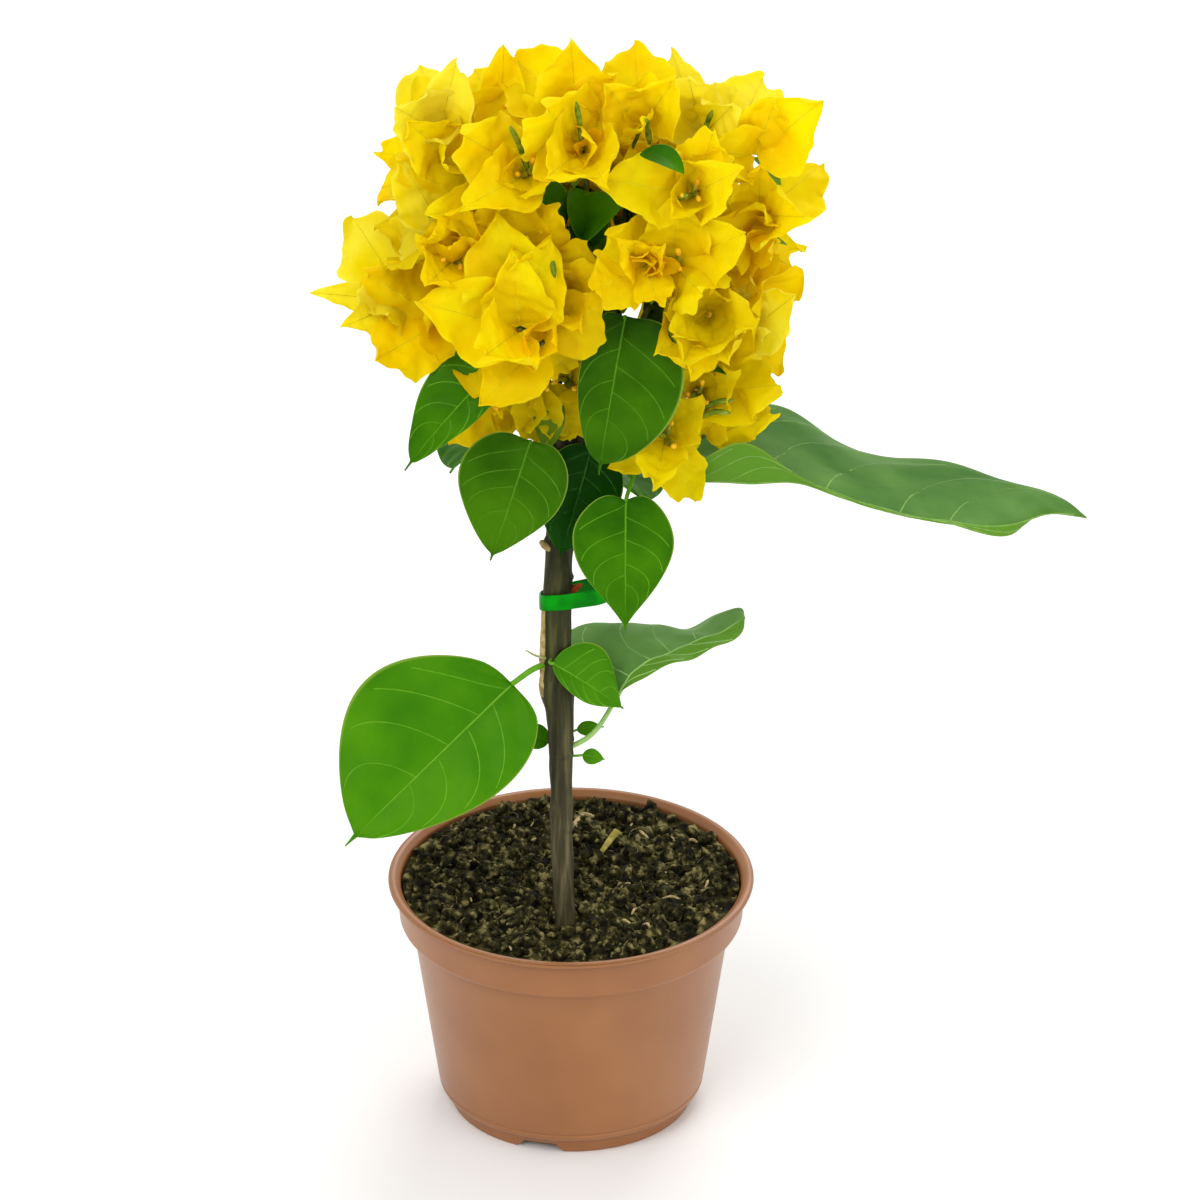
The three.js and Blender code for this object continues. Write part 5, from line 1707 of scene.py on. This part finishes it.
@dataclass
class Crown:
    """The crown: boughs, twigs, blooms of bracts with their flowers, and small leaves.

    heart and reach are its middle and half sizes. front is the point that places in the front view are
    measured from, right, up and towards the viewer, and front_face is the way to that viewer. shallows
    are sides where the crown is less deep: bearing, lift, spread and share lost. windows are ovals of
    the front view that let it look in: right, up, half width, half height, and how near a bloom may be.
    seen_tubes and peeping are flower tubes and leaves in that view, from foot to tip, the leaves with
    their width over length. sway, jitter and opening are degrees, and doubled, hearted, tubeless and
    leafy are shares of the blooms. bough_heights is how far apart the lowest and the highest bough leave
    the stem. shaded_olive_from, shaded_golden_from and lit_lemon_from are where a bloom's yellow changes, as
    painted shade deeper inside and low down and as painted light paler high up and at the back.
    """

    stem: Stem
    heart: Spot = (4, 0, 309)
    reach: Spot = (66, 58, 55)
    front: Spot = (6.4, -30, 315.8)
    front_face: tuple[float, float] = (0, 27.7)
    layers: tuple[Layer, ...] = (
        Layer(80, -0.62, 0.66, 16, 29, 8, 0), Layer(110, -0.6, 0.5, 14, 27, 7, 300),
        Layer(90, -0.7, 0.36, 12, 25, 6, 500),
    )
    shallows: tuple = ((0, 28, 55, 0.26), (-104, 26, 36, 0.12), (-80, -44, 30, 0.14), (60, -40, 22, 0.1))
    windows: tuple = (
        (-6, 17, 30, 22, -22), (13, -38, 30, 40, -34), (-38, -42, 22, 20, -36), (52, -60, 24, 26, -90),
    )
    sway: float = 46
    jitter: float = 44
    opening: float = 48
    lifted: float = 0.42
    upright: float = 60
    golden: float = 137.508
    doubled: float = 0.4
    hearted: float = 0.35
    tubeless: float = 0.5
    leafy: float = 0.55
    lowest_bough: float = 226
    bough_heights: float = 26
    knee: float = 11
    steepest: float = 82
    # Where painted shade deepens a bloom's yellow and where painted light makes it paler.
    shaded_olive_from: float = 0.62
    shaded_golden_from: float = 0.42
    lit_lemon_from: float = 1.05
    petal_count: int = 6
    petal_opening: float = 24
    petal_sway: float = 130
    leaf_length: float = 19
    leaf_widths: tuple[float, float] = (0.55, 0.42)
    seen_tubes: tuple = (
        ((-2, 36, 17), (-4.3, 51, 31)), ((-19, 30, 14), (-24.7, 43.6, 28)), ((35, 40, 5), (38.1, 49, 16)),
        ((18.5, 39, 13), (17.4, 46, 27)), ((-44, 9, 5), (-51, 17.6, 16)), ((-13, 7, 10), (-11, -3, 23)),
        ((25, 18, 19), (30.2, 22.4, 31)), ((34, -44, -16), (45, -40.6, -7)),
        ((34, -46, -16), (44, -44.6, -8)), ((3, -12, 4), (4.4, -4, 16)),
    )
    peeping: tuple = (
        ((15.6, 35, 33), (29.2, 28.5, 37), 0.7), ((-9, 12, 2), (-24, 29, 4), 0.8),
        ((-5, 8, 0), (12, 22, 5), 0.85), ((1, 7, 1), (-6, 26, -2), 0.7),
        ((27, -30.5, -9), (45.5, -33.5, -5), 0.3),
    )
    hearts: Array = field(init=False)
    boughs: Array = field(init=False)

    def __post_init__(self) -> None:
        """Places the masses' hearts and their boughs."""
        self.hearts = np.array([self.on_crown(*place) for place in HEARTS.values()])
        self.boughs = np.array([self.bough(*place) for place in HEARTS.values()])

    def bough(self, bearing: float, lift: float, share: float) -> Array:
        """A bough's root on the stem, its knee, and its end short of its mass's heart.

        Args:
            bearing: the bearing of its mass.
            lift: the lift of its mass.
            share: how far out the mass's heart is.

        Returns:
            The three points.
        """
        heart = self.on_crown(bearing, lift, share)
        root = self.stem.at_height(self.lowest_bough + (lift + 60) / 130 * self.bough_heights)
        knee = root + heading(bearing, 35) * self.knee
        knee = knee + (heart - knee) * 0.12
        return np.array([root, knee, (root + (heart - root) * 0.62 + (knee + heart) / 2) / 2])

    def in_mass(self, mass: Any, share: Any) -> Array:
        """Points of a mass's own stem, this share of the way from its bough's end to its heart."""
        end = self.boughs[mass, -1]
        return end + (self.hearts[mass] - end) * share

    def seen(self, spots: Any) -> Array:
        """The points at these places in the front view."""
        return np.array(self.front) + np.array(spots) @ facing(*self.front_face)

    def on_crown(self, bearing: float, lift: float, share: float) -> Array:
        """A place on the crown's dome."""
        return heading(bearing, lift) * np.array(self.reach) * share + np.array(self.heart)

    def room(self, bearing: float, lift: float) -> float:
        """How much of its reach the crown has this way: less towards each of its shallow sides.

        Args:
            bearing: the way, in degrees.
            lift: how steep it is, in degrees.

        Returns:
            A share of 1.
        """
        way, left = heading(bearing, lift), 1.0
        for turn, rise, spread, depth in self.shallows:
            away = math.degrees(math.acos(np.clip(way @ heading(turn, rise), -1, 1)))
            left -= depth * math.exp(-((away / spread) ** 2))
        return left

    def is_clear(self, at: Array) -> bool:
        """Whether a bloom here would stand before one of the windows that the front view looks in through."""
        across, rise, near = facing(*self.front_face) @ (at - np.array(self.front))
        return any(
            ((across - x) / wide) ** 2 + ((rise - z) / tall) ** 2 < 1 and near > depth
            for x, z, wide, tall, depth in self.windows
        )

    def blooms(self) -> list[Bloom]:
        """The posed blooms, then those of the layers that are free.

        Returns:
            All blooms.
        """
        names, made = list(HEARTS), []
        for seed, (mass, knot, shade, tips, *heart) in enumerate(SPRAYS, 1):
            place = (names.index(mass), self.seen(knot), self.front_face)
            bracts = tuple(Tip(*tip) for tip in tips)
            made.append(Bloom(*place, 0, 28, 0, seed, BractShade[shade], bracts, bool(heart)))
        for layer in self.layers:
            self.fill(made, layer)
        LOG.info("%d blooms", len(made))
        return made

    def fill(self, made: list[Bloom], layer: Layer) -> None:
        """Adds a layer's blooms: each golden-angle place that no bloom is near, given to the nearest mass.

        They look more upwards than straight out, as the shoots grow towards the light.

        Args:
            made: the blooms so far, which it adds to.
            layer: the layer.
        """
        aims = np.array([heading(bearing, lift) for bearing, lift, _ in HEARTS.values()])
        for place in range(layer.places):
            lift = math.degrees(math.asin(1 - (place + 0.5) / layer.places * (1 - layer.lowest)))
            bearing = (place * self.golden) % 360
            seed = place + layer.first_seed
            near, turn, rise, roll, size, gape = [draw(seed, index) for index in range(1, 7)]
            at = self.on_crown(bearing, lift, layer.reach * (0.94 + 0.12 * near) * self.room(bearing, lift))
            if self.is_clear(at) or min(np.linalg.norm(bloom.at - at) for bloom in made) < layer.apart:
                continue
            upward = lift + self.lifted * (self.upright - lift) + self.sway * (rise - 0.5)
            face = (bearing + self.sway * (turn - 0.5), min(self.steepest, upward))
            length = layer.size + layer.spread * (size - 0.5)
            opening = self.opening + 0.6 * self.jitter * (gape - 0.5)
            mass, number = int(np.argmax(aims @ heading(bearing, lift))), seed + 101
            made.append(Bloom(mass, at, face, 360 * roll, length, opening, number, self.yellow_by_painted_light(at, number)))

    def yellow_by_painted_light(self, at: Array, seed: int) -> BractShade:
        """A bloom's yellow, painted light and shade: paler high up and at the back, deeper low and inside.

        Args:
            at: where it sits.
            seed: picks its draws.

        Returns:
            The yellow.
        """
        place = (at - np.array(self.heart)) / np.array(self.reach)
        # Painted shade: deeper yellows inside and low down. Painted light: paler yellows high up and at the
        # back.
        deep = 1 - np.linalg.norm(place) + 0.35 * draw(seed, 70) - 0.25 * place[2]
        if deep > self.shaded_golden_from:
            return BractShade.OLIVE if deep > self.shaded_olive_from else BractShade.GOLDEN
        pale = place[2] + 0.8 * draw(seed, 71) + 0.3 * place[1]
        return BractShade.LEMON if pale > self.lit_lemon_from else BractShade.SUNNY

    def build(self) -> None:
        """Makes boughs, twigs, bracts by shade, their midribs, flowers and small leaves."""
        self.wood()
        blooms = self.blooms()
        self.twigs(blooms)
        self.bracts(blooms)
        self.flowers(blooms)
        self.small_leaves(blooms)

    def wood(self) -> None:
        """The boughs with their bark, and each mass's own stem beyond its bough's end."""
        rings, sides = 34, 16
        lines, radius = smooth_lines(self.boughs, rings), np.linspace(2.1, 1.2, rings)[:, None]
        angle = np.arange(sides) * TURN / sides
        circle = np.stack([np.cos(angle), np.sin(angle), 0 * angle], axis=-1)
        spot = lines[:, :, None] + circle * radius[..., None]
        bark = 0.12 * ripple(spot * np.array([1, 1, 0.2]), 1.6, 51)
        finish = Bark("bark grown on boughs", green_from=205, green_to=262)
        boughs = Shape().add_tubes(lines, radius + bark, sides)
        boughs.piece("boughs_bark", finish, "bark", *("bough_" + name for name in HEARTS))
        cores = np.stack([self.in_mass(slice(None), share) for share in np.linspace(0, 1, 8)], axis=1)
        young = Shape().add_tubes(cores, np.linspace(1.15, 0.85, 8), 10)
        young.piece("mass_stems", PlainGrown("twig olive", "#3c4a16", "#666f2a"), "bract")

    def twigs(self, blooms: list[Bloom]) -> None:
        """A twig for each bloom, from a drawn place on its mass's stem to behind its bracts.

        Args:
            blooms: all blooms.
        """
        at = np.array([bloom.at for bloom in blooms])
        behind = at - 7 * np.array([heading(*bloom.face) for bloom in blooms])
        share = 0.35 + 0.6 * draw([bloom.seed for bloom in blooms], 30)
        root = self.in_mass([bloom.mass for bloom in blooms], share[:, None])
        lines = smooth_lines(np.stack([root, root + (behind - root) * 0.6, at], axis=1), 12)
        shape = Shape().add_tubes(lines, np.linspace(0.95, 0.6, 12), 7)
        shape.piece("crown_twigs", PlainGrown("twig green", "#3f5212", "#6f7c2a"), "bract")

    def bracts(self, blooms: list[Bloom]) -> None:
        """The bracts, a piece for each yellow with all the masses behind it, and the midribs.

        Args:
            blooms: all blooms.
        """
        nodes, ribs = ["blossom_" + name for name in HEARTS], Shape()
        for shade in BractShade:
            shape = Shape()
            if shade is BractShade.HEART:
                self.petals(blooms).add_to(shape, PETAL)
            else:
                posed, outer, inner = self.whorls([bloom for bloom in blooms if bloom.shade is shade])
                posed.add_to(shape, POSED, ribs)
                outer.add_to(shape, OUTER, ribs)
                inner.add_to(shape, INNER)
            shape.piece("bracts_" + shade.name.lower(), PaperyBract(shade), "bract", *nodes)
        ribs.piece("bract_midribs", PlainGrown("bract midrib olive", "#d2c40c", "#e8d81c", 0.6), "bract")

    def whorls(self, blooms: list[Bloom]) -> tuple[Whorl, Whorl, Whorl]:
        """Gathers the bracts of some blooms.

        Args:
            blooms: the blooms.

        Returns:
            The posed bracts, three bracts round each other bloom, and the smaller, closer ones of some.
        """
        posed, outer, inner = Whorl(), Whorl(), Whorl()
        for bloom in blooms:
            if bloom.tips:
                posed.pose(bloom)
                if len(bloom.tips) < 4:
                    opening = 34 + self.jitter * (bloom.chance(59) - 0.5)
                    inner.ring(bloom, 2, 360 * bloom.chance(60), opening, 17, 2 * self.jitter, bloom.seed)
                continue
            outer.ring(bloom, 3, bloom.roll, bloom.open, bloom.size, self.jitter, bloom.seed)
            if bloom.chance(55) < self.doubled:
                opening, size = bloom.open - 6 - 18 * bloom.chance(57), bloom.size * 0.74
                inner.ring(bloom, 3, bloom.roll + 60, opening, size, 1.4 * self.jitter, bloom.seed + 1000)
        return posed, outer, inner

    def petals(self, blooms: list[Bloom]) -> Whorl:
        """The crumpled golden petals in the middle of some blooms.

        Args:
            blooms: all blooms.

        Returns:
            The petals.
        """
        made = Whorl()
        for bloom in blooms:
            if bloom.heart or (not bloom.tips and bloom.chance(56) < self.hearted):
                size, roll = 8 + 4 * bloom.chance(58), bloom.roll + 30
                made.ring(bloom, self.petal_count, roll, self.petal_opening, size, self.petal_sway,
                          bloom.seed + 2000)
        return made

    def flowers(self, blooms: list[Bloom]) -> None:
        """Slim tubes, swollen at the foot, with a closed bud at the mouth; those that show are greener.

        Args:
            blooms: all blooms.
        """
        found = []
        for bloom in blooms:
            if bloom.heart or bloom.chance(56) < self.tubeless:
                continue
            for index in range(3):
                radial = bloom.radial(math.radians(bloom.roll + 120 * index + 20))
                way = unit(heading(*bloom.face) + radial * (0.28 + 0.2 * bloom.chance(90 + index)))
                tip = bloom.at + way * bloom.size * (0.34 + 0.14 * bloom.chance(93 + index))
                found.append((bloom.at + way * 0.5, tip, bloom.seed * 3 + index))
        start, tip, seed = (np.array(column) for column in zip(*found))
        bow = unit(np.cross(tip - start, heading(360 * draw(seed, 1), 0))) * 1.1
        lines = smooth_lines(np.stack([start, (start + tip) / 2 + bow, tip], axis=1), 10)
        girth = np.array([0.55, 0.95, 1.1, 1.0, 0.8, 0.68, 0.65, 0.75, 0.85, 0.6])
        radius = girth * (0.95 + 0.3 * draw(seed, 2))[:, None]
        seen = self.seen(self.seen_tubes)
        bowed = smooth_lines(np.stack([seen[:, 0], seen.mean(axis=1) + 1.2 * UP, seen[:, 1]], axis=1), 10)
        girth = np.array([0.5, 0.85, 1.05, 1.05, 0.95, 0.85, 0.9, 1.0, 0.8, 0.35])
        for name, title, line, radii, sides, colours in (
            ("flower_tubes", "flower tube olive", lines[:, :8], radius[:, :8], 8, ("#6c7e16", "#aca628")),
            ("flower_tubes_green", "flower tube green", bowed, girth, 9, ("#4c6a10", "#8c9c28")),
            ("flower_buds", "flower bud gold", lines[:, 7:], radius[:, 7:], 8, ("#dc9e08", "#eec020")),
        ):
            shape = Shape().add_tubes(line, radii, sides)
            shape.piece(name, PlainGrown(title, *colours, 0.55), "bract")

    def small_leaves(self, blooms: list[Bloom]) -> None:
        """Small leaves: olive low on the masses' stems and behind blooms, and greener ones between bracts.

        Args:
            blooms: all blooms.
        """
        found = []
        for mass, (bearing, lift, _) in enumerate(HEARTS.values()):
            for index in range(3):
                base = self.in_mass(mass, 0.2 + 0.25 * index)
                rise = -30 + 50 * draw(mass + 1, 50 + index)
                way = heading(bearing + 150 * (draw(mass + 1, 40 + index) - 0.5), lift + rise)
                size = self.leaf_length * (0.8 + 0.4 * draw(mass + 1, 60 + index))
                found.append((base, base + way * size, self.leaf_widths[0]))
        for bloom in blooms:
            if bloom.chance(97) <= self.leafy:
                axis = heading(*bloom.face)
                way = unit(bloom.radial(TURN * bloom.chance(98)) - 0.25 * axis)
                base = bloom.at - 5 * axis
                found.append((base, base + way * (8 + 7 * bloom.chance(99)), self.leaf_widths[1]))
        peeping = [(*self.seen(row[:2]), row[2]) for row in self.peeping]
        self.leaf_blades(found, "crown_leaves", LeafShade.YOUNG)
        self.leaf_blades(peeping, "crown_leaves_between", LeafShade.MID)

    def leaf_blades(self, found: list[tuple[Array, Array, float]], name: str, shade: LeafShade) -> None:
        """Small leaves, arched and folded a little along the midrib.

        Args:
            found: for each leaf, where it starts and ends, and its width over its length.
            name: the piece's name.
            shade: their green.
        """
        base, tip, wide = (np.array(column) for column in zip(*found))
        t, s = end_steps(16), np.linspace(-1, 1, 9)
        along, length = unit(tip - base), np.linalg.norm(tip - base, axis=1)[:, None, None]
        side = unit(np.cross(np.array([0.1, -0.2, 1.0]), along))
        half = wide[:, None, None] * length / 2 * (t**0.6 * (1 - t) ** 0.8 / 0.4)[:, None]
        rise = 0.3 * half * np.abs(s) + 0.12 * length * (4 * t * (1 - t))[:, None]
        amounts = (length * t[:, None], half * s, rise)
        ways = [vector[:, None, None] for vector in (base, along, side, np.cross(along, side))]
        middle = ways[0] + sum(amount[..., None] * way for amount, way in zip(amounts, ways[1:]))
        Shape().add_blades(middle, base, tip, 0.3, t, s).piece(name, WaxyLeaf(shade), "bract")


@dataclass
class Studio:
    """The floor, soft lights and the camera at the photograph's angle.

    A light is its name, where it hangs, its side in millimetres and its power in watts.
    """

    aim: Spot = (9.49, 41.68, 161.4)
    distance: float = 3200
    elevation: float = 27.695
    lens: float = 293.44
    sensor: float = 36
    floor: float = 9000
    sky: float = 0.75
    lit: Spot = (0, 0, 240)
    lights: tuple = (
        ("key", (-900, -1500, 1900), 1500, 26), ("fill", (1700, -1300, 900), 1600, 12),
        ("rim", (500, 1500, 1700), 1300, 22),
    )

    def build(self) -> None:
        """Makes camera, floor, lights and sky."""
        self.camera()
        self.ground()
        for name, place, size, watts in self.lights:
            data = bpy.data.lights.new(name, "AREA")
            data.shape, data.size, data.energy = "SQUARE", size * MM, watts
            made = in_scene(name, data)
            made.location = Vector(place) * MM
            made.rotation_euler = (Vector(self.lit) - Vector(place)).to_track_quat("-Z", "Y").to_euler()
        world = bpy.data.worlds.new("studio")
        world.use_nodes = True
        back = world.node_tree.nodes["Background"]
        back.inputs["Color"].default_value = (1, 1, 1, 1)
        back.inputs["Strength"].default_value = self.sky
        bpy.context.scene.world = world
        bpy.context.scene.view_settings.view_transform = "Standard"

    def camera(self) -> None:
        """A long lens that looks down on the plant."""
        data = bpy.data.cameras.new("camera")
        data.lens, data.sensor_width = self.lens, self.sensor
        data.clip_start, data.clip_end = 0.1, 100
        made, lift = in_scene("camera", data), math.radians(self.elevation)
        made.location = (Vector(self.aim) + Vector((0, -math.cos(lift), math.sin(lift))) * self.distance) * MM
        made.rotation_euler = (math.pi / 2 - lift, 0, 0)
        bpy.context.scene.camera = made

    def ground(self) -> None:
        """A wide flat floor under the pot."""
        half = self.floor / 2 * MM
        mesh = bpy.data.meshes.new("floor")
        corners = [(-half, -half, 0), (half, -half, 0), (half, half, 0), (-half, half, 0)]
        mesh.from_pydata(corners, [], [(0, 1, 2, 3)])
        mesh.materials.append(PaleFloor().material())
        in_scene("floor", mesh)


def main() -> None:
    """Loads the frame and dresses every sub-part."""
    logging.basicConfig(level=logging.INFO, format="%(message)s")
    for old in list(bpy.data.objects):
        bpy.data.objects.remove(old)
    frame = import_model()
    LOG.info("%d CAD nodes in the frame", len(frame["nodes"]))
    pot, stem = NurseryPot(), Stem()
    for made in (Studio(), pot, PeatBed(pot), stem, PlantTie(), Foliage(stem), Crown(stem)):
        made.build()
    bpy.context.view_layer.update()


if __name__ == "__main__":
    main()
